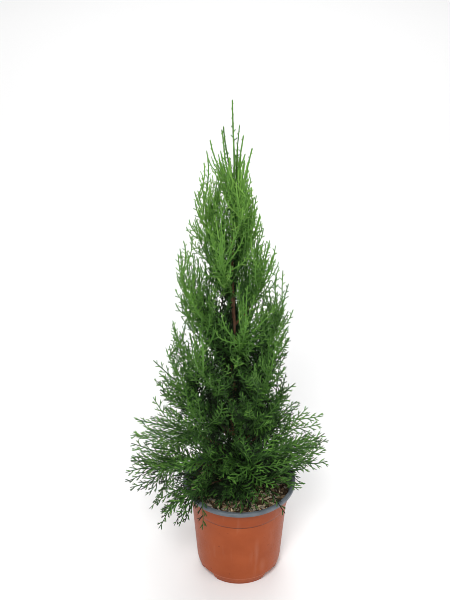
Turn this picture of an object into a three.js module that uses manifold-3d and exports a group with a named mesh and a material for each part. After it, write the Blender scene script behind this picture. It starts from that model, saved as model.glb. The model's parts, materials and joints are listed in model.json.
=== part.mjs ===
// A young cypress with a single leader, growing in a round moulded pot.
// Millimetres, +Z up, +X to the right and +Y away from the front.
// The origin is the centre of the pot's flat underside.
import * as THREE from "three";
import { mergeVertices } from "three/addons/utils/BufferGeometryUtils.js";
import Module from "manifold-3d";

// Pot: a two-colour sheet, moulded with a stepped collar, a rolled lip and drainage notches.
const POT_HEIGHT = 208;
const POT_SIDES = 32;
const SHEET = 1.6;
const LIP_RADIUS = 110;
const LIP_WIDTH = 7;
const LIP_DEPTH = 7.5;
const COLLAR_TOP_RADIUS = 105;
const COLLAR_FOOT_RADIUS = 95;
const WALL_TOP_RADIUS = 93.6;
const WALL_TOP = 160;
const WALL_FOOT_RADIUS = 83.8;
const WALL_FOOT = 28;
const FOOT_HEIGHT = 5.5;
const BASE_RADIUS = 75.6;
const NOTCH_BEARINGS = [38, 142, 218, 322];
const NOTCH_HEIGHT = 18;
const NOTCH_DEPTH = 13;
const NOTCH_FOOT_WIDTH = 41;
const NOTCH_TOP_WIDTH = 34;

// Soil: fills the pot to a little below the lip, with a flat patch round the stem.
const SOIL_EDGE = 185;
const SOIL_TOP = 191;
const SOIL_PATCH_RADIUS = 18;

// Trunk: one leader that leans and sways, with a root flare at the soil.
const TRUNK_TOP = 905;
const TRUNK_ROOT_RADIUS = 5.8;
const TRUNK_TIP_RADIUS = 1.4;
const ROOT_FLARE = 3;
const FLARE_HEIGHT = 22;
const TRUNK_SIDES = 12;
const TRUNK_STEPS = 12;
const TRUNK_CROWD = 1.8;
const TRUNK_LINE_STEPS = 24;
const LEAN = -14;
const LEAN_SHARE = 0.15;
const SWAY = 2;
const SWAY_LENGTH = 0.4;
const CROWN_TOP = 994;

// Lower crown: three tiers of spreading boughs. Bearings are in degrees, 0 to the right and 270 to the front.
// low and high are heights on the trunk, reach is from the trunk to a tip, and tip is a tip's height.
// left adds to the reach of boughs on the left, front takes from those at the front.
// leave and arrive are the rise of a bough at the trunk and at its tip, in degrees above level.
// bare is the share of a bough that is a bare limb, width the length of its side sprays.
const TIERS = [
  { name: "skirt", count: 7, bearing: -36, low: 207, high: 222, reach: 190, left: 0.2, front: 0.42, tip: 208,
    leave: 28, arrive: -26, bare: 0.28, width: 98, sprays: 5, root: 2.8 },
  { name: "low", count: 6, bearing: -14, low: 228, high: 262, reach: 184, left: 0.08, front: 0.2, tip: 312,
    leave: 46, arrive: 8, bare: 0.26, width: 98, sprays: 5, root: 3 },
  { name: "flare", count: 5, bearing: 14, low: 268, high: 318, reach: 146, left: 0.16, front: 0.1, tip: 430,
    leave: 62, arrive: 38, bare: 0.24, width: 92, sprays: 5, root: 3 },
];

// The lower crown's outline widens from the foot of the cone to its skirt.
const SKIRT_RADIUS = 198;
const SKIRT_LEVEL = 260;
const SKIRT_LEFT = 0.1;
const TIPS_OUT = 12;

// Upper crown: a spiral of upright boughs whose tips lie on a cone with a bulging side.
// The bough numbered FORK is a bare limb at its root, where the trunk seems to fork.
const CONE_COUNT = 18;
const CONE_LOW = 474;
const CONE_RADIUS = 122;
const CONE_BULGE = 0.75;
const CONE_LEFT = [0.06, 0.36];
const CONE_CROWD = 0.68;
const CONE_DROP = [205, 105];
const CONE_LEAVE = 50;
const CONE_ARRIVE = 78;
const CONE_ROOT = [2.8, 1.7];
const CONE_WIDTH = 26;
const CONE_WIDTH_SHARE = 0.6;
const CONE_SPRAYS = 6;
const SPIRAL_TURN = 137.5;
const SPIRAL_START = 40;
const FORK = 10;
const FORK_BARE = 0.32;
const BEARING_JITTER = 7;
const REACH_JITTER = 0.06;
const TIP_JITTER = 14;
const FRONT_LIFT = 26;
const HEIGHT_STEP = 0.618;
const BOUGH_SIDES = 5;
const BOUGH_STEPS = 3;
const BOUGH_TAPER = 0.75;
const ROOT_INSIDE = 0.3;

// Foliage: a stem with long shoots on both sides, and toothed sprays between them.
const STEM_POINTS = 10;
const STEM_STEPS = 6;
const SQUARE = 0.75;
const STEM_TIP_RADIUS = 0.7;
const STEM_END = 0.84;
const STEM_TWIST = 50;
const SHOOT_ANGLE = 36;
const SHOOT_ROOT = 1.0;
const SHOOT_TIP = 0.42;
const FIRST_SPRAY = 0.1;
const LAST_SPRAY = 0.9;
const SPRAY_ANGLE = 40;
const SPRAY_ROLL = 26;
const SPRAY_TAPER = 0.55;
const TEETH_FROM = 0.14;
const TEETH_TO = 0.78;
const TOOTH_PITCH = 24;
const TOOTH_SHARE = 0.32;
const TOOTH_SWEEP = 0.85;
const RIB = 1.5;
const BLADE = 0.9;
const SINK = 0.8;
const SHORTER = [1, 0.8, 0.62, 0.46];

// Clearances.
const GAP = 0.3;
const TIP_GAP = 0.5;
const OWN_SPACE = 1.4;
const LIMB_CLEARANCE = 1.6;
const POT_CLEARANCE = 3;
const SEED = 7;
const MERGE = 1e-4;

const wasm = await Module();
wasm.setup();

// A repeatable stream of numbers from 0 to 1.
function seeded(seed) {
  let state = seed >>> 0;
  return () => {
    state = (state + 0x6d2b79f5) >>> 0;
    let mixed = Math.imul(state ^ (state >>> 15), state | 1);
    mixed ^= mixed + Math.imul(mixed ^ (mixed >>> 7), mixed | 61);
    return ((mixed ^ (mixed >>> 14)) >>> 0) / 4294967296;
  };
}

const radians = THREE.MathUtils.degToRad;
const lerp = THREE.MathUtils.lerp;

// The closed solid of a geometry, with shared vertices merged and collapsed faces dropped.
function solidOf(geometry) {
  const bare = new THREE.BufferGeometry();
  bare.setAttribute("position", geometry.getAttribute("position"));
  bare.setIndex(geometry.index);
  const merged = mergeVertices(bare, MERGE);
  const corners = merged.index.array;
  const faces = [];
  for (let i = 0; i < corners.length; i += 3) {
    const [a, b, c] = corners.slice(i, i + 3);
    if (a !== b && b !== c && c !== a) {
      faces.push(a, b, c);
    }
  }
  return new wasm.Manifold(
    new wasm.Mesh({
      numProp: 3,
      vertProperties: merged.getAttribute("position").array,
      triVerts: new Uint32Array(faces),
    }),
  );
}

// The largest body of a solid: sealed hollows are filled and loose scraps dropped.
function largestBody(solid) {
  return solid.decompose().reduce((most, body) => (body.volume() > most.volume() ? body : most));
}

function geometryOf(solid) {
  const { vertProperties, triVerts } = solid.getMesh();
  const geometry = new THREE.BufferGeometry();
  geometry.setAttribute("position", new THREE.BufferAttribute(new Float32Array(vertProperties), 3));
  geometry.setIndex(new THREE.BufferAttribute(new Uint32Array(triVerts), 1));
  geometry.computeVertexNormals();
  return geometry;
}

function turned(profile) {
  const points = profile.map(([radius, height]) => new THREE.Vector2(radius, height));
  return solidOf(new THREE.LatheGeometry(points, POT_SIDES).rotateX(Math.PI / 2));
}

// The wall's outline from the base to under the lip, moved inwards by inset.
function wallOutline(inset) {
  const rise = POT_HEIGHT - SHEET - GAP - WALL_TOP;
  return [
    [BASE_RADIUS - inset, inset],
    [BASE_RADIUS + 0.5 - inset, FOOT_HEIGHT],
    [BASE_RADIUS + 2.9 - inset, FOOT_HEIGHT + 1.2],
    [WALL_FOOT_RADIUS - 1.9 - inset, lerp(FOOT_HEIGHT, WALL_FOOT, 0.5)],
    [WALL_FOOT_RADIUS - inset, WALL_FOOT],
    [WALL_TOP_RADIUS - inset, WALL_TOP],
    [COLLAR_FOOT_RADIUS - inset, WALL_TOP + 1.4],
    [lerp(COLLAR_FOOT_RADIUS, COLLAR_TOP_RADIUS, 0.35) - inset, WALL_TOP + 0.6 * rise],
    [COLLAR_TOP_RADIUS - inset, WALL_TOP + rise],
  ];
}

// The drainage notches in the foot of the wall, grown on every side by grow.
function notches(grow) {
  const half = NOTCH_FOOT_WIDTH / 2 + grow;
  const top = NOTCH_TOP_WIDTH / 2 + grow;
  const below = 5;
  const outline = new THREE.Shape()
    .moveTo(-half, -below)
    .lineTo(half, -below)
    .lineTo(half, 0)
    .lineTo(top, NOTCH_HEIGHT + grow)
    .lineTo(-top, NOTCH_HEIGHT + grow)
    .lineTo(-half, 0);
  const cut = new THREE.ExtrudeGeometry(outline, { depth: 2 * NOTCH_DEPTH, bevelEnabled: false });
  cut.rotateX(Math.PI / 2).rotateZ(Math.PI / 2);
  cut.translate(BASE_RADIUS - NOTCH_DEPTH - grow, 0, 0);
  const cuts = NOTCH_BEARINGS.map((bearing) => solidOf(cut.clone().rotateZ(radians(bearing))));
  return cuts.reduce((all, one) => all.add(one));
}

function potSolid() {
  const outside = turned([[0, 0], ...wallOutline(0), [0, POT_HEIGHT - SHEET - GAP]]);
  const rim = wallOutline(SHEET).at(-1);
  const inside = turned([[0, SHEET], ...wallOutline(SHEET), [rim[0], POT_HEIGHT], [0, POT_HEIGHT]]);
  return outside.subtract(notches(0)).subtract(inside.subtract(notches(SHEET)));
}

// The rolled lip: a flat top with a skirt turned down outside.
function lipSolid() {
  const inner = LIP_RADIUS - LIP_WIDTH;
  const under = POT_HEIGHT - SHEET;
  const low = POT_HEIGHT - LIP_DEPTH;
  return turned([
    [inner, under],
    [LIP_RADIUS - SHEET, under],
    [LIP_RADIUS - SHEET, low],
    [LIP_RADIUS - 0.3, low],
    [LIP_RADIUS, POT_HEIGHT - 1.5],
    [LIP_RADIUS - 1.5, POT_HEIGHT],
    [inner, POT_HEIGHT],
    [inner, under],
  ]);
}

function soilSolid() {
  const inset = SHEET + GAP;
  const wall = wallOutline(inset).filter(([, height]) => height < SOIL_EDGE);
  const edge = wall.at(-1)[0] - GAP;
  const body = turned([
    [0, inset],
    ...wall,
    [edge, SOIL_EDGE],
    [SOIL_PATCH_RADIUS, SOIL_TOP],
    [0, SOIL_TOP],
  ]);
  return body.subtract(notches(inset));
}

// The trunk's centre line: share 0 is the soil and 1 the top of the crown.
function leaderPoint(share) {
  const wave = 2 * Math.PI * ((share - 0.12) / SWAY_LENGTH);
  return new THREE.Vector3(
    LEAN * (1 - Math.exp(-share / LEAN_SHARE)) - SWAY * Math.sin(wave),
    SWAY * Math.cos(wave) * share,
    lerp(SOIL_TOP + GAP, CROWN_TOP, share),
  );
}

function leaderShare(height) {
  return (height - SOIL_TOP - GAP) / (CROWN_TOP - SOIL_TOP - GAP);
}

function trunkRadius(height) {
  const share = (height - SOIL_TOP) / (TRUNK_TOP - SOIL_TOP);
  const flare = ROOT_FLARE * Math.exp((SOIL_TOP - height) / (0.4 * FLARE_HEIGHT));
  return lerp(TRUNK_ROOT_RADIUS, TRUNK_TIP_RADIUS, Math.min(share, 1)) + flare;
}

// A tapering limb: a cylinder bent along a curve, with the radius that radiusAt gives at each share.
// A crowd above 1 draws its rings closer together towards the root.
function limb(curve, radiusAt, sides, steps, crowd = 1) {
  const geometry = new THREE.CylinderGeometry(1, 1, 1, sides, steps);
  const frames = curve.computeFrenetFrames(steps, false);
  const position = geometry.getAttribute("position");
  const across = new THREE.Vector3();
  for (let i = 0; i < position.count; i++) {
    const step = Math.round((position.getY(i) + 0.5) * steps);
    const share = (step / steps) ** crowd;
    const normal = frames.normals[step];
    across.crossVectors(normal, frames.tangents[step]);
    const radius = radiusAt(share);
    const point = curve.getPointAt(share);
    point.addScaledVector(normal, position.getX(i) * radius);
    point.addScaledVector(across, position.getZ(i) * radius);
    position.setXYZ(i, point.x, point.y, point.z);
  }
  return geometry;
}

// The stretch of a curve between two shares of its length, as a curve of its own.
function stretch(curve, from, to, count) {
  const points = [];
  for (let i = 0; i <= count; i++) {
    points.push(curve.getPointAt(lerp(from, to, i / count)));
  }
  return new THREE.CatmullRomCurve3(points);
}

// The trunk, grown by grow all round.
function trunkSolid(grow) {
  const top = leaderShare(TRUNK_TOP);
  const points = [];
  for (let i = 0; i <= TRUNK_STEPS; i++) {
    points.push(leaderPoint((top * i) / TRUNK_STEPS));
  }
  const foot = points[0].z;
  const curve = new THREE.CatmullRomCurve3(points);
  const radiusAt = (share) => trunkRadius(curve.getPointAt(share).z) + grow;
  const tall = limb(curve, radiusAt, TRUNK_SIDES, TRUNK_STEPS, TRUNK_CROWD);
  // The cut at the soil is flat and level.
  const position = tall.getAttribute("position");
  for (let i = 0; i < position.count; i++) {
    position.setZ(i, Math.max(position.getZ(i), foot));
  }
  return solidOf(tall);
}

// A direction from a bearing round the trunk and a rise above level, in degrees.
function heading(bearing, rise) {
  const [turn, up] = [radians(bearing), radians(rise)];
  return new THREE.Vector3(Math.cos(turn) * Math.cos(up), Math.sin(turn) * Math.cos(up), Math.sin(up));
}

// A bough's centre line, from inside the trunk to its tip.
function boughCurve(bearing, height, reach, tipHeight, kind) {
  const level = heading(bearing, 0);
  const root = leaderPoint(leaderShare(height)).addScaledVector(level, ROOT_INSIDE * trunkRadius(height));
  const tip = leaderPoint(leaderShare(tipHeight)).addScaledVector(level, reach);
  const third = root.distanceTo(tip) / 3;
  return new THREE.CubicBezierCurve3(
    root,
    root.clone().addScaledVector(heading(bearing, kind.leave), third),
    tip.clone().addScaledVector(heading(bearing, kind.arrive), -third),
    tip,
  );
}

// The spreading boughs of the lower crown, tier by tier.
function tierAxes(spread) {
  const axes = [];
  for (const tier of TIERS) {
    for (let i = 0; i < tier.count; i++) {
      const bearing = tier.bearing + (360 * i) / tier.count + spread(BEARING_JITTER);
      const height = lerp(tier.low, tier.high, (i * HEIGHT_STEP) % 1);
      const left = -tier.left * Math.cos(radians(bearing));
      const front = Math.max(0, -Math.sin(radians(bearing))) ** 2;
      const reach = tier.reach * (1 + left - front * tier.front + spread(REACH_JITTER));
      const tip = tier.tip + front ** 2 * FRONT_LIFT + spread(TIP_JITTER);
      const curve = boughCurve(bearing, height, reach, tip, tier);
      axes.push({ ...tier, label: `${tier.name}_${i + 1}`, bearing, curve });
    }
  }
  return axes;
}

// The radius of the upper crown's outline at a height.
function coneRadius(height) {
  return CONE_RADIUS * ((CROWN_TOP - height) / (CROWN_TOP - CONE_LOW)) ** CONE_BULGE;
}

// How much further the upper crown reaches on the left at a height, as a share.
function coneLeft(height) {
  return lerp(...CONE_LEFT, (height - CONE_LOW) / (CROWN_TOP - CONE_LOW));
}

// True where a point lies within the crown's outline, with some spray tips standing out of it.
function insideCrown(point) {
  const height = Math.min(point.z, CROWN_TOP);
  const centre = leaderPoint(Math.max(0, leaderShare(height)));
  const out = Math.hypot(point.x - centre.x, point.y - centre.y);
  const left = (centre.x - point.x) / Math.max(out, 1);
  if (height > CONE_LOW) return out < coneRadius(height) * (1 + coneLeft(height) * left) + TIPS_OUT;
  const flare = Math.min(1, (CONE_LOW - height) / (CONE_LOW - SKIRT_LEVEL));
  return out < lerp(CONE_RADIUS, SKIRT_RADIUS, flare) * (1 + SKIRT_LEFT * left) + TIPS_OUT;
}

// The upright boughs of the upper crown, winding up the cone and closer together towards its top.
function coneAxes(spread) {
  const axes = [];
  for (let i = 0; i < CONE_COUNT; i++) {
    const rise = (i + 0.5) / CONE_COUNT;
    const below = (CROWN_TOP - CONE_LOW) * (1 - rise) ** CONE_CROWD;
    const tipHeight = CROWN_TOP - below;
    const radius = coneRadius(tipHeight);
    const bearing = SPIRAL_START + SPIRAL_TURN * i + spread(BEARING_JITTER);
    const kind = {
      leave: CONE_LEAVE,
      arrive: CONE_ARRIVE,
      root: lerp(...CONE_ROOT, rise),
      bare: i === FORK ? FORK_BARE : 0,
      width: CONE_WIDTH + CONE_WIDTH_SHARE * radius,
      sprays: CONE_SPRAYS,
    };
    const height = tipHeight - lerp(...CONE_DROP, rise);
    const left = -coneLeft(tipHeight) * Math.cos(radians(bearing));
    const reach = radius * (1 + left + spread(REACH_JITTER));
    const curve = boughCurve(bearing, height, reach, tipHeight, kind);
    axes.push({ ...kind, label: `cone_${i + 1}`, bearing, curve });
  }
  return axes;
}

// The leading shoot stands on the top of the trunk.
function leaderAxis() {
  const points = [];
  for (let i = 0; i <= STEM_STEPS; i++) {
    points.push(leaderPoint(leaderShare(lerp(TRUNK_TOP + GAP, CROWN_TOP, i / STEM_STEPS))));
  }
  const curve = new THREE.CatmullRomCurve3(points);
  return { label: "leader", bearing: 200, bare: 0, width: 30, sprays: 2, root: 1.6, curve };
}

// A closed rib of square section through rings of four corners, from a root to a point at its tip. A tooth is
// a sharp wedge that stands on one side of the rib, from one ring to the next. teeth holds a pair of tooth
// tips, right and left, for each stretch between rings, with null where a side is plain. A root of null
// closes the rib with a flat end.
function toothedRib(rings, tip, teeth, root = null) {
  const points = rings.flat();
  const faces = [];
  const add = (point) => points.push(point) - 1;
  const last = 4 * (rings.length - 1);
  const end = add(tip);
  const start = root ? add(root) : null;
  for (let k = 0; k < 4; k++) {
    const next = (k + 1) % 4;
    faces.push(end, last + k, last + next);
    if (root) {
      faces.push(start, next, k);
    }
  }
  if (!root) {
    faces.push(0, 2, 1, 0, 3, 2);
  }
  teeth.forEach((pair, k) => {
    const [near, far] = [4 * k, 4 * k + 4];
    faces.push(near, near + 1, far + 1, near, far + 1, far);
    faces.push(near + 2, near + 3, far + 3, near + 2, far + 3, far + 2);
    pair.forEach((tooth, side) => {
      const [low, high] = side ? [3, 0] : [1, 2];
      if (!tooth) {
        faces.push(near + low, near + high, far + high, near + low, far + high, far + low);
        return;
      }
      const sharp = add(tooth);
      faces.push(near + low, near + high, sharp, near + high, far + high, sharp);
      faces.push(far + high, far + low, sharp, far + low, near + low, sharp);
    });
  });
  const geometry = new THREE.BufferGeometry().setFromPoints(points);
  geometry.setIndex(faces);
  return geometry;
}

// The four corners of a rib's section, in the plane of across and normal.
function ribRing(centre, across, normal, wide, thick) {
  return [[-1, -1], [1, -1], [1, 1], [-1, 1]].map(([right, up]) =>
    centre.clone().addScaledVector(across, right * wide).addScaledVector(normal, up * thick),
  );
}

// A toothed spray in its own plane, straight along +X, with its root at the origin.
function sprayGeometry(length) {
  const count = THREE.MathUtils.clamp(Math.round(length / TOOTH_PITCH), 2, 3);
  const along = new THREE.Vector3(1, 0, 0);
  const across = new THREE.Vector3(0, 1, 0);
  const normal = new THREE.Vector3(0, 0, 1);
  const rings = [];
  const teeth = [];
  for (let k = 0; k <= count; k++) {
    const scale = lerp(1, SPRAY_TAPER, k / count);
    const x = length * lerp(TEETH_FROM, TEETH_TO, k / count);
    rings.push(ribRing(along.clone().multiplyScalar(x), across, normal, RIB * scale, BLADE * scale));
    const size = length * TOOTH_SHARE * scale;
    if (k < count) {
      teeth.push([
        new THREE.Vector3(x + size * TOOTH_SWEEP, RIB + size, 0),
        new THREE.Vector3(x + size * (TOOTH_SWEEP + 0.3), -RIB - size, 0),
      ]);
    }
  }
  return toothedRib(rings, new THREE.Vector3(length, 0, 0), teeth, new THREE.Vector3(-SINK, 0, 0));
}

function cornersOf(geometry) {
  const position = geometry.getAttribute("position");
  const corner = (_, i) => new THREE.Vector3().fromBufferAttribute(position, i);
  return Array.from({ length: position.count }, corner);
}

// Least distance from a point to a line of points.
const segment = new THREE.Line3();
const nearest = new THREE.Vector3();
function distanceToLine(point, line) {
  let least = Infinity;
  for (let i = 0; i + 1 < line.length; i++) {
    segment.set(line[i], line[i + 1]).closestPointToPoint(point, true, nearest);
    least = Math.min(least, nearest.distanceTo(point));
  }
  return least;
}

// True where a point is well clear of the pot, the lip and the soil.
function clearOfPot(point) {
  const out = Math.hypot(point.x, point.y);
  if (out > LIP_RADIUS + POT_CLEARANCE) return point.z > POT_CLEARANCE;
  if (out > LIP_RADIUS - LIP_WIDTH - POT_CLEARANCE) return point.z > POT_HEIGHT + POT_CLEARANCE;
  return point.z > SOIL_TOP + POT_CLEARANCE;
}

// The directions at a share of a stem: along it, and across it, turned about it by roll from the level side.
function stemFrame(stem, share, out, roll) {
  const along = stem.getTangentAt(share);
  const face = out.clone().addScaledVector(along, -out.dot(along)).normalize();
  const side = new THREE.Vector3().crossVectors(along, face);
  const across = side.multiplyScalar(Math.cos(roll)).addScaledVector(face, Math.sin(roll));
  const normal = new THREE.Vector3().crossVectors(along, across);
  return { centre: stem.getPointAt(share), along, across, normal };
}

// A mass of foliage: one stem with a row of long shoots on each side, and toothed sprays that turn about it.
function foliageSolid(axis, masses, limbs, random) {
  const { stem, sprays, width } = axis;
  const inOwnSpace = (point) => {
    const own = distanceToLine(point, axis.line) + OWN_SPACE;
    return masses.every((other) => other === axis || own < distanceToLine(point, other.line));
  };
  const clearOfLimbs = (point) =>
    limbs.every((each) => distanceToLine(point, each.line) > each.radius(point) + LIMB_CLEARANCE);
  const fits = (point) =>
    insideCrown(point) && clearOfPot(point) && clearOfLimbs(point) && inOwnSpace(point);
  const out = heading(axis.bearing, 0);
  const jitter = () => lerp(0.88, 1.12, random());

  const shootTip = ({ centre, along, across }, sign, length) => {
    const angle = radians(SHOOT_ANGLE);
    const aside = sign * Math.sin(angle);
    const ahead = along.clone().multiplyScalar(Math.cos(angle)).addScaledVector(across, aside);
    for (const shorter of SHORTER) {
      const reach = (share) => centre.clone().addScaledVector(ahead, length * shorter * share);
      if ([0.4, 0.7, 1].every((share) => fits(reach(share)))) return reach(1);
    }
    return null;
  };
  const rings = [];
  const shoots = [];
  for (let k = 0; k <= STEM_STEPS; k++) {
    const share = (STEM_END * k) / STEM_STEPS;
    const frame = stemFrame(stem, share, out, radians(STEM_TWIST) * (share - 0.5));
    const size = lerp(axis.stemRoot, STEM_TIP_RADIUS, share);
    rings.push(ribRing(frame.centre, frame.across, frame.normal, size, size));
    const length = width * lerp(SHOOT_ROOT, SHOOT_TIP, share);
    if (k < STEM_STEPS) {
      shoots.push([1, -1].map((sign) => (k ? shootTip(frame, sign, length * jitter()) : null)));
    }
  }
  let mass = solidOf(toothedRib(rings, stem.getPointAt(1), shoots));

  for (let k = 0; k < sprays; k++) {
    const share = lerp(FIRST_SPRAY, LAST_SPRAY, (k + 0.3 * random()) / sprays);
    const roll = radians(45 + 90 * (k + axis.hand) + SPRAY_ROLL * (2 * random() - 1));
    const length = width * lerp(1.2, 0.8, share) * jitter();
    const { centre, along, across, normal } = stemFrame(stem, share, out, roll);
    const angle = radians(SPRAY_ANGLE);
    const ahead = along.multiplyScalar(Math.cos(angle)).addScaledVector(across, Math.sin(angle));
    const wide = new THREE.Vector3().crossVectors(normal, ahead);
    const place = new THREE.Matrix4().makeBasis(ahead, wide, normal).setPosition(centre);
    for (const shorter of SHORTER) {
      const spray = sprayGeometry(length * shorter).applyMatrix4(place);
      if (cornersOf(spray).every(fits)) {
        mass = mass.add(solidOf(spray));
        break;
      }
    }
  }
  return mass;
}

const bark = new THREE.MeshStandardMaterial({ color: 0x6b4a36, roughness: 0.9, metalness: 0 });
const leaf = new THREE.MeshStandardMaterial({ color: 0x3f6b2c, roughness: 0.7, metalness: 0 });
const terracotta = new THREE.MeshStandardMaterial({ color: 0xa85a38, roughness: 0.55, metalness: 0 });
const grey = new THREE.MeshStandardMaterial({ color: 0x6f7683, roughness: 0.5, metalness: 0 });
const earth = new THREE.MeshStandardMaterial({ color: 0x4a3a2a, roughness: 1, metalness: 0 });

function node(name, solid, material) {
  const mesh = new THREE.Mesh(geometryOf(solid), material);
  mesh.name = name;
  return mesh;
}

function pottedCypress() {
  const potGroup = new THREE.Group();
  potGroup.add(
    node("pot", potSolid(), terracotta),
    node("pot_lip", lipSolid(), grey),
    node("soil", soilSolid(), earth),
  );

  const plant = new THREE.Group();
  plant.add(node("trunk", trunkSolid(0), bark));
  const trunkSpace = trunkSolid(GAP);
  const trunkLine = [];
  for (let i = 0; i <= TRUNK_LINE_STEPS; i++) {
    trunkLine.push(leaderPoint((leaderShare(TRUNK_TOP) * i) / TRUNK_LINE_STEPS));
  }
  const limbs = [{ line: trunkLine, radius: (point) => trunkRadius(Math.min(point.z, TRUNK_TOP)) }];

  const random = seeded(SEED);
  const spread = (size) => size * (2 * random() - 1);
  const axes = [...tierAxes(spread), ...coneAxes(spread), leaderAxis()];
  for (const [i, axis] of axes.entries()) {
    const { curve, bare, root } = axis;
    axis.hand = i % 4;
    axis.stem = stretch(curve, bare ? bare + TIP_GAP / curve.getLength() : 0, 1, STEM_POINTS);
    axis.line = axis.stem.getSpacedPoints(9);
    axis.stemRoot = SQUARE * (bare ? BOUGH_TAPER * root : root);
    if (!bare) continue;
    const bough = stretch(curve, 0, bare, BOUGH_STEPS);
    const radiusAt = (share) => root * lerp(1, BOUGH_TAPER, share);
    limbs.push({ line: bough.getSpacedPoints(6), radius: () => root });
    const tube = solidOf(limb(bough, radiusAt, BOUGH_SIDES, BOUGH_STEPS));
    plant.add(node(`bough_${axis.label}`, largestBody(tube.subtract(trunkSpace)), bark));
  }
  axes.forEach((axis, i) => {
    const mass = foliageSolid(axis, axes, limbs, seeded(SEED + i + 1)).subtract(trunkSpace);
    plant.add(node(`foliage_${axis.label}`, largestBody(mass), leaf));
  });

  const whole = new THREE.Group();
  whole.add(potGroup, plant);
  return whole;
}

export default pottedCypress();
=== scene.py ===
# %% [markdown]
# # A potted cypress, dressed in Blender
# The imported CAD model is the fixed frame. It gives the pot, the soil, the trunk, the boughs and one
# toothed mass of foliage for each bough. This lesson grows the real foliage in the space of those masses,
# and gives the trunk its bark, the soil its bark chips and the pot its moulded plastic.

# %% Load the frame
import json
import math

import bpy
import numpy as np
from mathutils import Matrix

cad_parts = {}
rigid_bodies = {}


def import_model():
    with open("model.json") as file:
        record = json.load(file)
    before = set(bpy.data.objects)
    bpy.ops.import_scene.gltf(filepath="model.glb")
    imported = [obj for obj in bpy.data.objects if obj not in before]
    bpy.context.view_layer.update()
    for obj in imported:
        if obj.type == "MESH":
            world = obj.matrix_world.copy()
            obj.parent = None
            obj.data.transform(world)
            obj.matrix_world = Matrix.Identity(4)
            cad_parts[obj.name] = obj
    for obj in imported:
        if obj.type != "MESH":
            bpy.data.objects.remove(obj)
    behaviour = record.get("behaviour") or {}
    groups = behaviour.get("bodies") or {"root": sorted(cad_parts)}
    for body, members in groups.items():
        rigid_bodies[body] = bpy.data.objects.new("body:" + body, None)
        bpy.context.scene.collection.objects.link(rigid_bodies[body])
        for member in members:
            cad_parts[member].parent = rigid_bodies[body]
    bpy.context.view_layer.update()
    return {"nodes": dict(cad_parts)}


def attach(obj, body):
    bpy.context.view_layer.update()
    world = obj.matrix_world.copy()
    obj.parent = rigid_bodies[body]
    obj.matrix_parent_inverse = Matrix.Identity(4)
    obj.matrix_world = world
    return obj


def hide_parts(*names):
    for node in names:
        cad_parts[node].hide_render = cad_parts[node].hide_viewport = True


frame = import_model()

MM = 0.001
print("nodes in the frame:", len(frame["nodes"]))

# %% [markdown]
# ## Camera
# The picture was taken from a little above the plant with a long lens, so the camera stands back and looks
# down by about 31 degrees. The 36 mm side of the sensor is the long, upright side of the picture. Place,
# pitch and lens were fitted to the ellipses of the lip and the foot, which a guess by eye would miss.

# %% Make the camera
CAMERA_PLACE = (-0.0279, -1.9, 1.745)
CAMERA_PITCH, LENS, SENSOR = 30.78, 74.1, 36


def linked(name, data):
    """A new object that holds this data, in the scene."""
    made = bpy.data.objects.new(name, data)
    bpy.context.scene.collection.objects.link(made)
    return made


def make_camera():
    """A camera that looks along +Y and is pitched down from level."""
    lens = bpy.data.cameras.new("camera")
    lens.lens = LENS
    lens.sensor_width = SENSOR
    camera = linked("camera", lens)
    camera.location = CAMERA_PLACE
    camera.rotation_euler = (math.radians(90 - CAMERA_PITCH), 0, 0)
    bpy.context.scene.camera = camera
    return camera


print("camera:", make_camera().name)

# %% [markdown]
# ## Studio
# A wide pale floor fills the view, because the camera looks down past any horizon. A soft key lamp hangs
# above and in front, a weak one fills from the right, one hangs over the plant, and a large one lights the
# floor behind it. A pale world lights the rest. A sun would be simpler, but its hard shadows would hide the
# twigs. The pixel filter is narrower than Blender's own, which keeps thin twigs crisp.

# %% Make the floor, the lamps and the world
FLOOR_SIZE, FLOOR_PALE = 80.0, (0.9, 0.9, 0.9, 1)
LAMPS = [
    dict(name="key", place=(-0.3, -1.9, 2.6), aim=(0, 0, 0.45), size=1.0, watts=64),
    dict(name="fill", place=(1.9, -1.2, 1.4), aim=(0, 0, 0.4), size=1.8, watts=10),
    dict(name="top", place=(0.2, 0.6, 2.8), aim=(0, 0, 0.5), size=1.8, watts=20),
    dict(name="behind", place=(0, 3.4, 3.2), aim=(0, 3.4, 0), size=3.0, watts=82),
]
WORLD_STRENGTH, FILTER_WIDTH = 0.36, 0.9


def finish(name, roughness, specular):
    """A material with its shader: returns the material, its tree and the shader."""
    material = bpy.data.materials.new(name)
    material.use_nodes = True
    shader = material.node_tree.nodes["Principled BSDF"]
    shader.inputs["Roughness"].default_value = roughness
    shader.inputs["Specular IOR Level"].default_value = specular
    return material, material.node_tree, shader


def make_floor():
    """A square on the ground round the origin."""
    half = FLOOR_SIZE / 2
    corners = [(-half, -half, 0), (half, -half, 0), (half, half, 0), (-half, half, 0)]
    mesh = bpy.data.meshes.new("floor")
    mesh.from_pydata(corners, [], [(0, 1, 2, 3)])
    pale, _, shader = finish("floor_pale", roughness=0.9, specular=0.1)
    shader.inputs["Base Color"].default_value = FLOOR_PALE
    mesh.materials.append(pale)
    floor = linked("floor", mesh)


def make_lamp(name, place, aim, size, watts):
    """An area lamp at a place, turned to shine at another: its tilt is the angle between straight down and
    the way to the aim, and its turn the bearing of that way."""
    light = bpy.data.lights.new(name, "AREA")
    light.shape = "DISK"
    light.size = size
    light.energy = watts
    lamp = linked(name, light)
    lamp.location = place
    away = [a - b for a, b in zip(place, aim)]
    level = math.hypot(away[0], away[1])
    lamp.rotation_euler = (math.atan2(level, away[2]), 0, math.atan2(away[0], -away[1]))


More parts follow.
